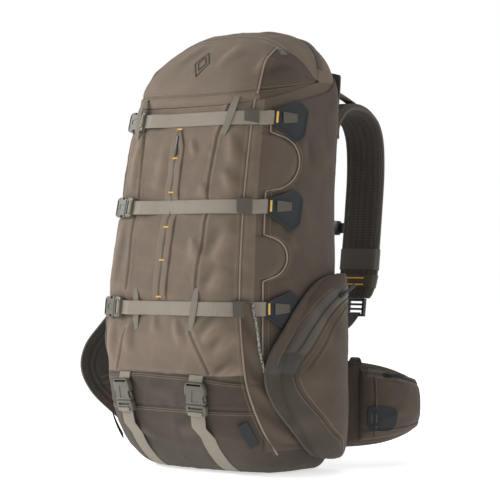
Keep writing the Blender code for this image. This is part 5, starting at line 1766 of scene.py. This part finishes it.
def back_pad(name, node, x_range, z_range, low, thick, look, crown, round_off=0.0, channels=(), ribs=0.0):
    """A padded panel on the bag's back with sewn channels across or along it."""
    u, v = np.meshgrid(np.linspace(0, 1, 81), np.linspace(0, 1, 121))
    waist = 1 - round_off * (2 * v - 1) ** 4
    middle = (x_range[0] + x_range[1]) / 2
    x = middle + (x_range[0] - middle + u * (x_range[1] - x_range[0])) * waist
    z = z_range[0] + v * (z_range[1] - z_range[0])
    wide, tall = x_range[1] - x_range[0], z_range[1] - z_range[0]
    edge = np.minimum(np.minimum(u, 1 - u) * wide, np.minimum(v, 1 - v) * tall)
    rolled = rolled_off(edge, 0.007)
    marks = np.zeros(x.shape)
    for axis, at in channels:
        d = (x - at) if axis == "x" else (z - at)
        marks -= 0.0035 * bell(d, 0.0035)
    marks += ribs * np.sin(x * 2 * np.pi / 0.0115) * smooth(0.004, 0.012, edge)
    out = low + thick * (0.25 + 0.75 * rolled) + crown * smooth(0, 0.030, edge) + marks * smooth(
        0.002, 0.010, edge)
    out = out + wrinkles(np.stack([x, z, 0 * z], -1), 41, 0.07, 0.0006)
    clay = Clay()
    # Painted shade in the sewn channels and between the ribs.
    slab(clay, back_point(x, z, out), back_point(x, z, low), 4, np.clip(marks / 0.003, -1, 1))
    piece = show(name, clay, look, "pack", (node,))
    border = np.concatenate([np.stack([u[0], v[0]], -1), np.stack([u[:, -1], v[:, -1]], -1),
                             np.stack([u[-1, ::-1], v[-1]], -1), np.stack([u[::-1, 0], v[::-1, 0]], -1)])
    waist = 1 - round_off * (2 * border[:, 1] - 1) ** 4
    bx = middle + (x_range[0] - middle + border[:, 0] * wide) * waist
    bz = z_range[0] + border[:, 1] * tall
    points = back_point(bx, bz, low + thick * 0.25)
    piping(f"{name}_edge", [(points, (0, 1, 0))], "pack", 0.0014, "dark_webbing", "dark_webbing")
    return piece


class PACK_OT_back(PackOperator):
    """The framed back: its padding, its stays and the bag's foot"""

    bl_idname = "pack.back"
    bl_label = "Framed Back"

    def build(self):
        top = 0.80 * BAG_HEIGHT
        back_pad("back_mesh", "back_panel", (-0.118, 0.118), (0.040, top + 0.015), FOAM_OUT, BACK_FOAM,
                 "side",
                 0.0)
        for name, side in SIDES:
            edge = sorted((side * 0.016, side * 0.098))
            back_pad(f"back_cushion_{name}", f"back_pad_{name}", edge, (0.205, 0.420), PAD_OUT, 0.011,
                     "spacer",
                     0.0035, 0.12, (("z", 0.275), ("z", 0.350)), 0.0005)
        back_pad("lumbar_cushion", "lumbar_pad", (-0.078, 0.078), (0.050, 0.165), PAD_OUT, 0.014, "spacer",
                 0.004, 0.15, (("x", -0.026), ("x", 0.026)), 0.0005)
        back_pad("yoke_cushion", "harness_yoke", (-0.118, 0.118), (0.436, 0.474), PAD_OUT, 0.008, "side",
                 0.002,
                 0.06)
        for node, look in (("frame_sheet", "black"), ("frame_stay_right", "metal"),
                           ("frame_stay_left", "metal")):
            repaint(node, look)
        self.foot()
        self.haul_loop()
        self.sleeve()

    def sleeve(self):
        """The cloth sleeve that the frame's top sits in, standing a little above the bag's shoulders."""
        u, v = np.meshgrid(np.linspace(0, 1, 97), np.linspace(0, 1, 65))
        x = 0.128 * (2 * u - 1) * (1 - 0.04 * (1 - v) ** 2)
        z = 0.452 + v * (0.127 - 0.006 * np.abs(2 * u - 1) ** 8)
        back = np.maximum(back_point(0 * u, 0.50 + 0 * v)[..., 1], back_point(0 * u, z)[..., 1])
        edge = np.minimum(np.minimum(u, 1 - u) * 0.25, (1 - v) * 0.12)
        rolled = rolled_off(edge, 0.004)
        low = back + 0.0030 * v
        marks = 0.0006 * np.sin(x * 60 + z * 40) * smooth(0, 0.02, edge) - 0.0010 * bell(edge - 0.009, 0.0014)
        high = low + 0.0010 + 0.0045 * rolled + marks
        clay = Clay()
        # Painted shading: lighter on its folds, darker in the groove near its edge.
        slab(clay, np.stack([x, high, z], -1), np.stack([x, low, z], -1), 4, np.clip(marks / 0.001, -1, 0.6))
        piece = show("frame_sleeve", clay, "side", "pack")

    def foot(self):
        angle = np.linspace(-180, 180, 97)[:-1]
        ring = surface(angle, 0.0)
        centre = ring.mean(0)
        rings = []
        for share, z in ((0.02, 0.0009), (0.5, 0.0006), (0.85, 0.0002), (0.97, 0.0), (1.0, 0.0008),
                         (1.0, 0.0024), (0.985, BASE_THICKNESS)):
            flat = centre + (ring - centre) * share
            rings.append(np.column_stack([flat[:, :2], np.full(len(flat), z)]))
        clay = Clay()
        loft(clay, rings)
        show("foot", clay, "base", "pack", ("base_panel",))

    def haul_loop(self):
        """The webbing loop to lift the pack by, sewn behind the crown."""
        foot_z = 0.985 * top_of_back()
        share = np.linspace(0, math.pi, 28)
        start = back_point(np.array(0.028), np.array(foot_z), 0.003)
        centres = np.stack([0.028 * np.cos(share), start[1] + 0.018 * np.sin(share) ** 0.8,
                            foot_z + 0.010 * np.sin(share)], -1)
        run = run_of(centres)
        across = np.broadcast_to(UP, centres.shape)
        across = unit(across - run * np.sum(across * run, -1, keepdims=True))
        strap("haul_loop", (centres, across, np.cross(run, across), 0.018, 0.0022), "dark_webbing", "pack")


def top_of_back():
    return 0.885 * BAG_HEIGHT


# ---------------------------------------------------------------- harness

SHOULDER_X = 0.080
SHOULDER_WIDTH = 0.068
SHOULDER_THICKNESS = 0.013
STERNUM_Z = 0.350
STERNUM_WEB = 0.016
SHOULDER_WEB = 0.020
LIFTER_WEB = 0.018
LIFTER_X = 0.086
SHOULDER_LENGTH = 0.42
SHOULDER_POINTS = (  # behind the yoke, height
    (0.012, 0.484), (0.022, 0.507), (0.048, 0.528), (0.082, 0.524), (0.106, 0.492), (0.111, 0.440),
    (0.105, 0.370), (0.097, 0.300), (0.090, 0.245))


class PACK_OT_shoulders(PackOperator):
    """The shoulder straps with their linings, load lifters, lower webbing and chest straps"""

    bl_idname = "pack.shoulders"
    bl_label = "Shoulder Straps"

    def build(self):
        root = float(back_point(np.array(SHOULDER_X), np.array(0.455), PAD_OUT + 0.008)[1])
        self.route = spline([(0, root + y, z) for y, z in SHOULDER_POINTS], 12)
        self.run = run_of(self.route)
        self.out = np.column_stack([np.zeros(len(self.run)), -self.run[:, 2], self.run[:, 1]])
        for name, side in SIDES:
            self.pad(name, side)
            self.webbing(name, side)
            self.chest(name, side)

    def half(self, share):
        half = SHOULDER_WIDTH / 2 * (0.80 + 0.20 * np.minimum(1.0, share / 0.3))
        return half * np.where(share > 0.9, 1 - 0.35 * (np.clip(share - 0.9, 0, 1) / 0.1) ** 2, 1.0)

    def spots(self, side, share, a, b):
        """Points on a strap: a across from -1 to 1, b half thicknesses out."""
        k = np.asarray(share, float) * (len(self.route) - 1)
        stations = np.arange(len(self.route))
        rows = [np.interp(k, stations, column) for column in np.hstack([self.route, self.out]).T]
        centre, out = np.stack(rows[:3], -1), np.stack(rows[3:], -1)
        sway = SHOULDER_X - 0.010 * np.sin(np.pi * np.minimum(1.0, np.asarray(share) / 0.45))
        x = side * (sway + a * self.half(np.asarray(share)))
        lift = np.asarray(b * SHOULDER_THICKNESS / 2)[..., None]
        return centre + np.stack([x, 0 * x, 0 * x], -1) + out * lift, out

    def pad(self, name, side):
        clay = Clay()
        share, u = np.meshgrid(np.linspace(0.0, 1.0, 201), np.linspace(-1, 1, 41), indexing="ij")
        end = np.minimum(share, 1 - share) * SHOULDER_LENGTH
        edge = np.minimum((1 - np.abs(u)) * SHOULDER_WIDTH / 2, end + 0.0015)
        rolled = rolled_off(edge, 0.0065)
        ribs = 0.06 * np.sin(u * 3 * np.pi * 3) * smooth(0.004, 0.012, edge)
        front, _ = self.spots(side, share, u, 0.10 + 1.0 * rolled + 0.10 * (1 - u * u))
        rear, _ = self.spots(side, share, u, -0.10 - 1.0 * rolled - ribs - 0.16 * (1 - u * u))
        uv = np.stack([share * SHOULDER_LENGTH, u * SHOULDER_WIDTH / 2], -1)
        # Painted shade along the front face's rolled edges.
        clay.add(front, quads(201, 41, side < 0), uv, -0.5 * (rolled < 0.5), 0)
        clay.add(rear, quads(201, 41, side > 0), uv, 0.0, 1)
        rim = np.concatenate([np.arange(41), np.arange(1, 201) * 41 + 40, 200 * 41 + np.arange(39, -1, -1),
                              np.arange(199, 0, -1) * 41])
        base = front.shape[0] * 41
        ahead = np.roll(rim, -1)
        faces = [[int(i), int(j), int(j) + base, int(i) + base] for i, j in zip(rim, ahead)]
        clay.faces += [f if side > 0 else f[::-1] for f in faces]
        clay.index += [2] * len(faces)
        piece = show(f"shoulder_pad_{name}", clay, "side spacer dark_webbing", f"shoulder_{name}",
                     (f"shoulder_strap_{name}",))
        line = np.linspace(0.005, 0.995, 120)
        loop = np.concatenate([line, line[::-1]])
        a = np.concatenate([np.ones(120), -np.ones(120)])
        edges, lifts = self.spots(side, loop, a, 0.0)
        piping(f"shoulder_binding_{name}", [(edges, lifts)], f"shoulder_{name}", 0.0022, "dark_webbing",
               "dark_webbing")
        rows = []
        for a in (-0.84, 0.84):
            points, lifts = self.spots(side, line, 0 * line + a, 1.08 + 0 * line)
            rows.append((points, lifts))
        stitches(f"shoulder_stitches_{name}", rows, f"shoulder_{name}")
        for low, high, look in ((0.84, 0.90, "dark_webbing"), (0.915, 0.955, "side")):
            around = np.linspace(0, 2 * np.pi, 25)[:-1]
            rings = []
            for one in (low, high):
                a = 1.04 * squared_off(np.cos(around), 0.4)
                b = 1.34 * squared_off(np.sin(around), 0.5)
                rings.append(self.spots(side, 0 * around + one, a, b)[0])
            clay = Clay()
            inner = [self.spots(side, 0 * around + one, 0.9 * np.cos(around), 0.6 * np.sin(around))[0]
                     for one in (high, low)]
            loft(clay, [*rings, *inner, rings[0]], caps=False)
            label = f"shoulder_band_{look}_{name}"
            show(label, clay, look, f"shoulder_{name}")
        a = np.linspace(-0.5, 0.5, 8)
        tacks = [self.spots(side, 0 * a + one, a, sign * 1.42 + 0 * a)
                 for one in (0.925, 0.945) for sign in (1, -1)]
        bars(f"shoulder_tacks_{name}", tacks, f"shoulder_{name}", 0.0022)

    def webbing(self, name, side):
        tip, run = self.route[-1], self.run[-1]
        out = np.array([0, -run[2], run[1]])
        out = out if out[1] > 0 else -out
        start = tip + (side * SHOULDER_X, 0, 0) + run * 0.0225
        foot = back_point(np.array(side * 0.104), np.array(0.172), PAD_OUT + 0.004)
        droop = np.array([0, 0, 0.004])
        path = spline([start, start + (foot - start) * 0.35 - droop, start + (foot - start) * 0.7 - droop,
                       foot],
                      14)
        step = run_of(path)
        spin = np.linspace(0, math.radians(150), len(path)) * smooth(0.1, 0.9, np.linspace(0, 1, len(path)))
        flat = unit(np.cross(step, np.array([side, 0.0, 0.0])))
        across = np.array([side, 0.0, 0.0]) * np.cos(spin)[:, None] + flat * np.sin(spin)[:, None]
        line = (path, across, unit(np.cross(step, across)), SHOULDER_WEB, WEB_THICKNESS)
        piece = strap(f"shoulder_web_{name}", line, "dark_webbing", None,
                      (f"shoulder_webbing_{name}",))
        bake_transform(piece)
        repaint(f"ladder_lock_{name}", "black")
        lift = unit(np.array([0, -0.2, 1])) * (SHOULDER_THICKNESS / 2 + 0.003)
        low = self.route[32] + (side * LIFTER_X, 0, 0) + lift
        high = back_point(np.array(side * LIFTER_X), np.array(top_of_back()), 0.008)
        share = np.linspace(0, 1, 16)[:, None]
        path = low + (high - low) * share + np.array([0, 0, 0.002]) * np.sin(np.pi * share)
        across = np.broadcast_to((float(side), 0, 0), path.shape)
        line = (path, across, unit(np.cross(unit(high - low), across)), LIFTER_WEB, WEB_THICKNESS)
        piece = strap(f"lifter_web_{name}", line, "webbing", None, (f"load_lifter_{name}",))
        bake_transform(piece)

    def chest(self, name, side):
        near = int(np.argmin(np.abs(self.route[:, 2] - STERNUM_Z)))
        along = unit(self.route[near - 4] - self.route[near + 4])
        away = np.array([0, along[2], -along[1]])
        lift = away * (SHOULDER_THICKNESS / 2 + 0.0028)
        centre = self.route[near] + lift + (side * (SHOULDER_X - 0.020), 0, 0)
        frame = clip_frame(centre, np.array([-side, 0.0, 0.0]), away)
        reach = SHOULDER_X - 0.030
        x = np.linspace(-0.010, reach, 14)
        sag = -0.003 * np.clip(x / reach, 0, 1) ** 2
        centres = placed(np.column_stack([x, 0 * x, sag]), frame)
        clay = Clay()
        across, out = (np.broadcast_to(frame[:3, k], centres.shape) for k in (1, 2))
        ribbon(clay, centres, across, out, STERNUM_WEB, 0.0016)
        for x0, x1, half, low, high in ((-0.012, 0.006, 0.0105, -0.0010, 0.0030),
                                        (reach - 0.020, reach, 0.0110, -0.0055, 0.0012)):
            outline = rounded([(x0, -half), (x1, -half), (x1, half), (x0, half)], 0.003)
            cast(clay, frame, solid(plate(outline, low, high, 0.0010)), 1)
        show(f"chest_strap_{name}", clay, "dark_webbing black", f"sternum_{name}",
             (f"sternum_strap_{name}",), sharp=35)


# ---------------------------------------------------------------- hip belt

BELT_ROOT = (0.092, 0.126)
BELT_THICKNESS = 0.014
BELT_ROOT_Z = (0.028, 0.152)
BELT_TIP_Z = (0.050, 0.118)
BELT_POINTS = ((0.0, 0.0), (0.030, 0.014), (0.054, 0.042), (0.062, 0.078), (0.058, 0.118))
HIP_POCKET_BULGE = 0.026
HIP_POCKET_SPAN = (0.30, 0.92)
HIP_WEB = 0.038
LABEL_CENTRE = (0.25, 0.31)
LABEL_HALF = (0.165, 0.185)
LABEL_LEAN = 0.10


class PACK_OT_hip_belt(PackOperator):
    """The hip belt's wings and pockets, with their zips, webbing and the two halves of its buckle"""

    bl_idname = "pack.hip_belt"
    bl_label = "Hip Belt"

    def build(self):
        self.route = spline([(BELT_ROOT[0] + x, BELT_ROOT[1] + y, 0) for x, y in BELT_POINTS], 12)
        for name, side in SIDES:
            self.wing(name, side)
            self.pocket(name, side)
            self.webbing(name, side)

    def spots(self, side, share, v, out, trim=0.0):
        """Points on the belt: share along it, v from its low to its high edge, out from its middle."""
        share, v, out = np.broadcast_arrays(*(np.asarray(x, float) for x in (share, v, out)))
        k = share * (len(self.route) - 1)
        index = np.arange(len(self.route))
        run = run_of(self.route)
        x, y = (np.interp(k, index, self.route[:, c]) for c in (0, 1))
        nx, ny = np.interp(k, index, run[:, 1]), -np.interp(k, index, run[:, 0])
        low = BELT_ROOT_Z[0] + (BELT_TIP_Z[0] - BELT_ROOT_Z[0]) * share ** 2 + trim
        high = BELT_ROOT_Z[1] + (BELT_TIP_Z[1] - BELT_ROOT_Z[1]) * share ** 2 - trim
        return np.stack([side * (x + nx * out), y + ny * out, low + v * (high - low)], -1)

    def normal(self, side, share):
        k = share * (len(self.route) - 1)
        run = run_of(self.route)
        index = np.arange(len(self.route))
        x, y = np.interp(k, index, run[:, 1]), -np.interp(k, index, run[:, 0])
        return np.stack([side * x, y, 0 * share], -1)

    def wing(self, name, side):
        share, v = np.meshgrid(np.linspace(0, 1, 121), np.linspace(0, 1, 61))
        edge = np.minimum(np.minimum(v, 1 - v) * 0.10, np.minimum(share, 1 - share) * 0.15)
        rolled = rolled_off(edge, 0.007)
        half = BELT_THICKNESS / 2 * (0.15 + 0.85 * rolled)
        channel = -0.0016 * bell(v - 0.5, 0.03) * smooth(0.002, 0.012, edge)
        clay = Clay()
        slab(clay, self.spots(side, share, v, half), self.spots(side, share, v, 0 * half), 2, 0.0)
        # Painted shade in the channel down the middle of the spacer face.
        slab(clay, self.spots(side, share, v, -half - channel - 0.0012 * smooth(0, 0.02, edge)),
             self.spots(side, share, v, 0 * half), 2, channel / 0.0016, index=1, lining=1)
        piece = show(f"hip_pad_{name}", clay, "side spacer", f"hip_{name}",
                     (f"hip_wing_{name}",))
        loop_share = np.concatenate([np.linspace(0, 1, 60), np.ones(20), np.linspace(1, 0, 60), np.zeros(20)])
        loop_v = np.concatenate([np.zeros(60), np.linspace(0, 1, 20), np.ones(60), np.linspace(1, 0, 20)])
        line = (self.spots(side, loop_share, loop_v, 0.0), UP)
        piping(f"hip_binding_{name}", [line], f"hip_{name}", 0.0026, "dark_webbing", "dark_webbing")

    def cover(self, u, v):
        """Stand-off and painted shading of a belt pocket."""
        base = BELT_THICKNESS / 2 + LAYER_GAP
        swell = np.sin(np.pi * np.clip(u, 0, 1)) ** 0.5 * np.sin(np.pi * np.clip(v, 0, 1)) ** 0.4
        marks = -0.0018 * bell(u - 0.17, 0.012) - 0.0014 * bell(v - 0.16, 0.020)
        points = np.stack([u * 0.11, v * 0.09, 0 * v], -1)
        marks = marks + wrinkles(points, 51, 0.05, 0.0010)
        marks = marks + fold(u, v, ((0.25, 0.30), (0.60, 0.45)), 0.06, 0.0012)
        edge = np.minimum(np.minimum(u, 1 - u) * 0.10, np.minimum(v, 1 - v) * 0.08)
        return base + 0.004 * smooth(-0.001, 0.004, edge) + HIP_POCKET_BULGE * swell + marks * smooth(
            0.001, 0.008, edge), np.clip(marks / 0.002, -1, 0.8)

    def pocket_spots(self, side, u, v, lift=0.0):
        first, last = HIP_POCKET_SPAN
        return self.spots(side, first + u * (last - first), v, self.cover(u, v)[0] + lift, 0.006)

    def pocket(self, name, side):
        u, v = np.meshgrid(np.linspace(0, 1, 97), np.linspace(0, 1, 81))
        out, tone = self.cover(u, v)
        first, last = HIP_POCKET_SPAN
        share = first + u * (last - first)
        clay = Clay()
        slab(clay, self.spots(side, share, v, out, 0.006),
             self.spots(side, share, v, BELT_THICKNESS / 2 + LAYER_GAP, 0.006), 4, tone)
        piece = show(f"hip_pocket_cloth_{name}", clay, "side", f"hip_{name}",
                     (f"hip_pocket_{name}",))
        line = np.linspace(0.10, 0.88, 50)
        points = self.pocket_spots(side, line, 0 * line + 0.955, 0.0008)
        near = self.pocket_spots(side, line, 0 * line + 0.93)
        lift = unit(np.cross(points - near, np.gradient(points, axis=0)))
        lift = lift * np.sign(lift[:, 2:])
        line = (points, beside(points, lift), lift, 0.013, 0.0012)
        strap(f"hip_zip_tape_{name}", line, "zip", f"hip_{name}")
        teeth(f"hip_zip_coil_{name}", [(points + lift * 0.0007, lift)], f"hip_{name}")
        lowest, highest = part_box(f"hip_zip_slider_{name}")
        centre = (np.array(lowest) + np.array(highest)) / 2
        spot = int(np.argmin(np.linalg.norm(points - centre, axis=1)))
        run = unit(points[spot] - points[min(spot + 1, 49)])
        up = unit(lift[spot] - run * np.dot(run, lift[spot]))
        pull(f"hip_zip_pull_{name}", clip_frame(points[spot] + up * 0.0012, run, up), f"hip_zip_{name}",
             f"hip_zip_slider_{name}")
        self.trims(name, side)

    def trims(self, name, side):
        angle = np.linspace(0, 2 * np.pi, 33)[:-1]
        u, v = LABEL_CENTRE
        wide, tall = LABEL_HALF
        across = u + wide * squared_off(np.cos(angle), 0.5)
        up = v + tall * squared_off(np.sin(angle), 0.5) - LABEL_LEAN * (across - u)
        clay = Clay()
        # Shading painted on the label: light on its raised rim, shade in the step inside it.
        rings, ring_shading = [], []
        for share, lift, tone in ((1.0, 0.0003, 0), (1.0, 0.0011, 0.5), (0.95, 0.0015, 0.7),
                                  (0.90, 0.0010, -0.4), (0.5, 0.0012, 0), (0.05, 0.0012, 0)):
            rings.append(self.pocket_spots(side, u + (across - u) * share, v + (up - v) * share, lift))
            ring_shading += [tone] * len(angle)
        loft(clay, rings, tone=ring_shading)
        show(f"hip_label_{name}", clay, "rubber", f"hip_{name}")
        rows = [(self.pocket_spots(side, 0 * angle + 0.195, np.linspace(0.10, 0.88, 32), 0.0004),
                 self.normal(side, 0 * angle + 0.4)),
                (self.pocket_spots(side, np.linspace(0.22, 0.92, 32), 0 * angle + 0.125, 0.0004),
                 self.normal(side, np.linspace(0.4, 0.9, 32)))]
        stitches(f"hip_stitches_{name}", rows, f"hip_{name}")
        turn = np.linspace(0, np.pi, 18)
        foot = self.spots(side, 0.26, 1.0, 0.006)
        centres = foot + np.stack([0 * turn, 0.008 * np.cos(turn), 0.013 * np.sin(turn) - 0.004], -1)
        run = run_of(centres)
        across = np.broadcast_to((1.0, 0, 0), centres.shape)
        strap(f"hip_loop_{name}", (centres, across, np.cross(run, across), 0.013, 0.0012), "dark_webbing",
              f"hip_{name}")

    def webbing(self, name, side):
        tip = self.route[-1]
        run = unit(self.route[-1] - self.route[-2])
        out = np.array([run[1], -run[0], 0])
        middle = (BELT_TIP_Z[0] + BELT_TIP_Z[1]) / 2
        ahead = np.array([tip + run * reach - out * bend for reach, bend in (
            (0.0006, 0.0), (0.020, 0.006), (0.034, 0.022), (0.038, 0.044))])
        ahead[:, 0] *= side
        ahead[:, 2] = middle
        path = spline(ahead, 8)
        step = run_of(path)
        across = np.broadcast_to(UP, path.shape)
        line = (path, across, unit(np.cross(step, across)), HIP_WEB, WEB_THICKNESS * 1.4)
        piece = strap(f"hip_web_{name}", line, "dark_webbing", f"hip_{name}",
                      (f"hip_webbing_{name}",))
        end = spline(ahead, 3)
        step = unit(end[-1] - end[-2])
        frame = clip_frame(path[-1] + step * 0.0006, step, unit(np.cross(step, UP)))
        half = HIP_WEB / 2 + 0.004
        if side > 0:
            self.prongs(name, frame, half)
        else:
            self.socket(name, frame, half)

    def prongs(self, name, frame, half):
        base = rounded([(0, -half), (0.014, -half), (0.014, half), (0, half)], 0.003)
        slot = box_solid((0.0035, -HIP_WEB / 2, -0.02), (0.0065, HIP_WEB / 2, 0.02))
        solids = [carve(solid(plate(base, -0.006, 0.006, 0.0022)), [slot])]
        for low, high in ((-half + 0.0035, -half + 0.0095), (-0.003, 0.003), (half - 0.0095, half - 0.0035)):
            prong = rounded([(0.012, low), (0.034, low), (0.040, (low + high) / 2 - 0.001),
                             (0.040, (low + high) / 2 + 0.001), (0.034, high), (0.012, high)], 0.0014)
            solids.append(solid(plate(prong, -0.0032, 0.0032, 0.0010)))
        moulding("hip_buckle_prongs", frame, "black", f"hip_{name}", "black_plastic", *solids,
                 stands_for=("hip_buckle_clip",))

    def socket(self, name, frame, half):
        outline = rounded([(0, -half * 0.9), (0.010, -half), (0.044, -half * 0.94), (0.044, half * 0.94),
                           (0.010, half), (0, half * 0.9)], 0.004)
        cuts = [box_solid((0.012, -half + 0.004, -0.0038), (0.060, half - 0.004, 0.0038)),
                box_solid((0.0035, -HIP_WEB / 2, -0.02), (0.0065, HIP_WEB / 2, 0.02))]
        for edge in (1, -1):
            cuts.append(prism(rounded([(0.020, edge * (half - 0.009)), (0.036, edge * (half - 0.007)),
                                       (0.036, edge * (half + 0.01)), (0.020, edge * (half + 0.01))], 0.002),
                              -0.02, 0.02))
        moulding("hip_buckle_body", frame, "black", f"hip_{name}", "black_plastic",
                 carve(solid(plate(outline, -0.006, 0.006, 0.0022)), cuts), stands_for=("hip_buckle_socket",))


# ---------------------------------------------------------------- stage

CAMERA_AZIMUTH = 42.0
CAMERA_LENS = 147.0
CAMERA_DISTANCE = 3.0
CAMERA_AIM_Z = 0.3175
CAMERA_SHIFT = 0.030


class PACK_OT_stage(PackOperator):
    """The pale floor, the soft lights and the camera"""

    bl_idname = "pack.stage"
    bl_label = "Stage"

    def build(self):
        mesh = bpy.data.meshes.new("floor")
        turn = np.linspace(0, 2 * math.pi, 49)[:-1]
        mesh.from_pydata([(9 * math.cos(t), 9 * math.sin(t), -0.0004) for t in turn], [], [list(range(48))])
        azimuth = math.radians(CAMERA_AZIMUTH)
        right = np.array([math.cos(azimuth), math.sin(azimuth), 0])
        away = np.array([-math.sin(azimuth), math.cos(azimuth), 0])
        floor = put("floor", mesh)
        paper = bpy.data.materials.new("paper")
        paper.use_nodes = True
        shader = paper.node_tree.nodes["Principled BSDF"]
        for socket, value in (("Base Color", (0.95, 0.95, 0.95, 1)), ("Roughness", 0.9),
                              ("Emission Color", (1, 1, 1, 1)), ("Emission Strength", 0.62)):
            shader.inputs[socket].default_value = value
        mesh.materials.append(paper)
        world = bpy.data.worlds.new("studio")
        bpy.context.scene.world = world
        world.use_nodes = True
        nodes = world.node_tree.nodes
        nodes["Background"].inputs["Color"].default_value = (1, 1, 1, 1)
        path = nodes.new("ShaderNodeLightPath")
        brightness = nodes.new("ShaderNodeMapRange")
        brightness.inputs["To Min"].default_value = 0.42
        brightness.inputs["To Max"].default_value = 1.0
        world.node_tree.links.new(path.outputs["Is Camera Ray"], brightness.inputs["Value"])
        world.node_tree.links.new(brightness.outputs["Result"], nodes["Background"].inputs["Strength"])
        bpy.context.scene.view_settings.view_transform = "Standard"
        for name, size, power, place in (("key", 1.2, 62.0, (-2.2, -1.5, 1.4)),
                                         ("top", 2.4, 24.0, (0.2, 0.4, 3.2)),
                                         ("rim", 1.0, 6.0, (2.2, 1.6, 1.2))):
            light = bpy.data.lights.new(name, "AREA")
            light.size, light.energy = size, power
            lamp = put(name, light)
            lamp.location = place
            aim = Vector((0, 0, 0.30)) - Vector(place)
            lamp.rotation_euler = aim.to_track_quat("-Z", "Y").to_euler()
        lens = bpy.data.cameras.new("camera")
        lens.lens, lens.sensor_width = CAMERA_LENS, 36.0
        camera = put("camera", lens)
        target = Vector((0, 0, CAMERA_AIM_Z)) + Vector(right) * CAMERA_SHIFT
        camera.location = target - Vector(away) * CAMERA_DISTANCE
        camera.rotation_euler = (math.radians(90), 0, azimuth)
        bpy.context.scene.camera = camera


class PACK_PT_panel(bpy.types.Panel):
    """The backpack's sizes, colours and builders"""

    bl_idname = "PACK_PT_panel"
    bl_label = "Backpack"
    bl_space_type = "VIEW_3D"
    bl_region_type = "UI"
    bl_category = "Backpack"

    def draw(self, context):
        for group in (context.scene.pack_sizes, context.scene.pack_colours):
            box = self.layout.box()
            for name in group.__annotations__:
                box.prop(group, name)
        for operator in OPERATORS:
            self.layout.operator(operator.bl_idname)


OPERATORS = (PACK_OT_bag, PACK_OT_crown, PACK_OT_side_panels, PACK_OT_compression, PACK_OT_lash,
             PACK_OT_front_zip, PACK_OT_side_pockets, PACK_OT_back, PACK_OT_shoulders, PACK_OT_hip_belt,
             PACK_OT_stage)
CLASSES = (PackSizes, PackColours, *OPERATORS, PACK_PT_panel)


def register():
    for item in CLASSES:
        bpy.utils.register_class(item)
    bpy.types.Scene.pack_sizes = PointerProperty(type=PackSizes)
    bpy.types.Scene.pack_colours = PointerProperty(type=PackColours)


def unregister():
    del bpy.types.Scene.pack_sizes, bpy.types.Scene.pack_colours
    for item in reversed(CLASSES):
        bpy.utils.unregister_class(item)


def main():
    for item in list(bpy.data.objects):
        bpy.data.objects.remove(item, do_unlink=True)
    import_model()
    register()
    for operator in OPERATORS:
        space, name = operator.bl_idname.split(".")
        getattr(getattr(bpy.ops, space), name)()


if __name__ == "__main__":
    main()
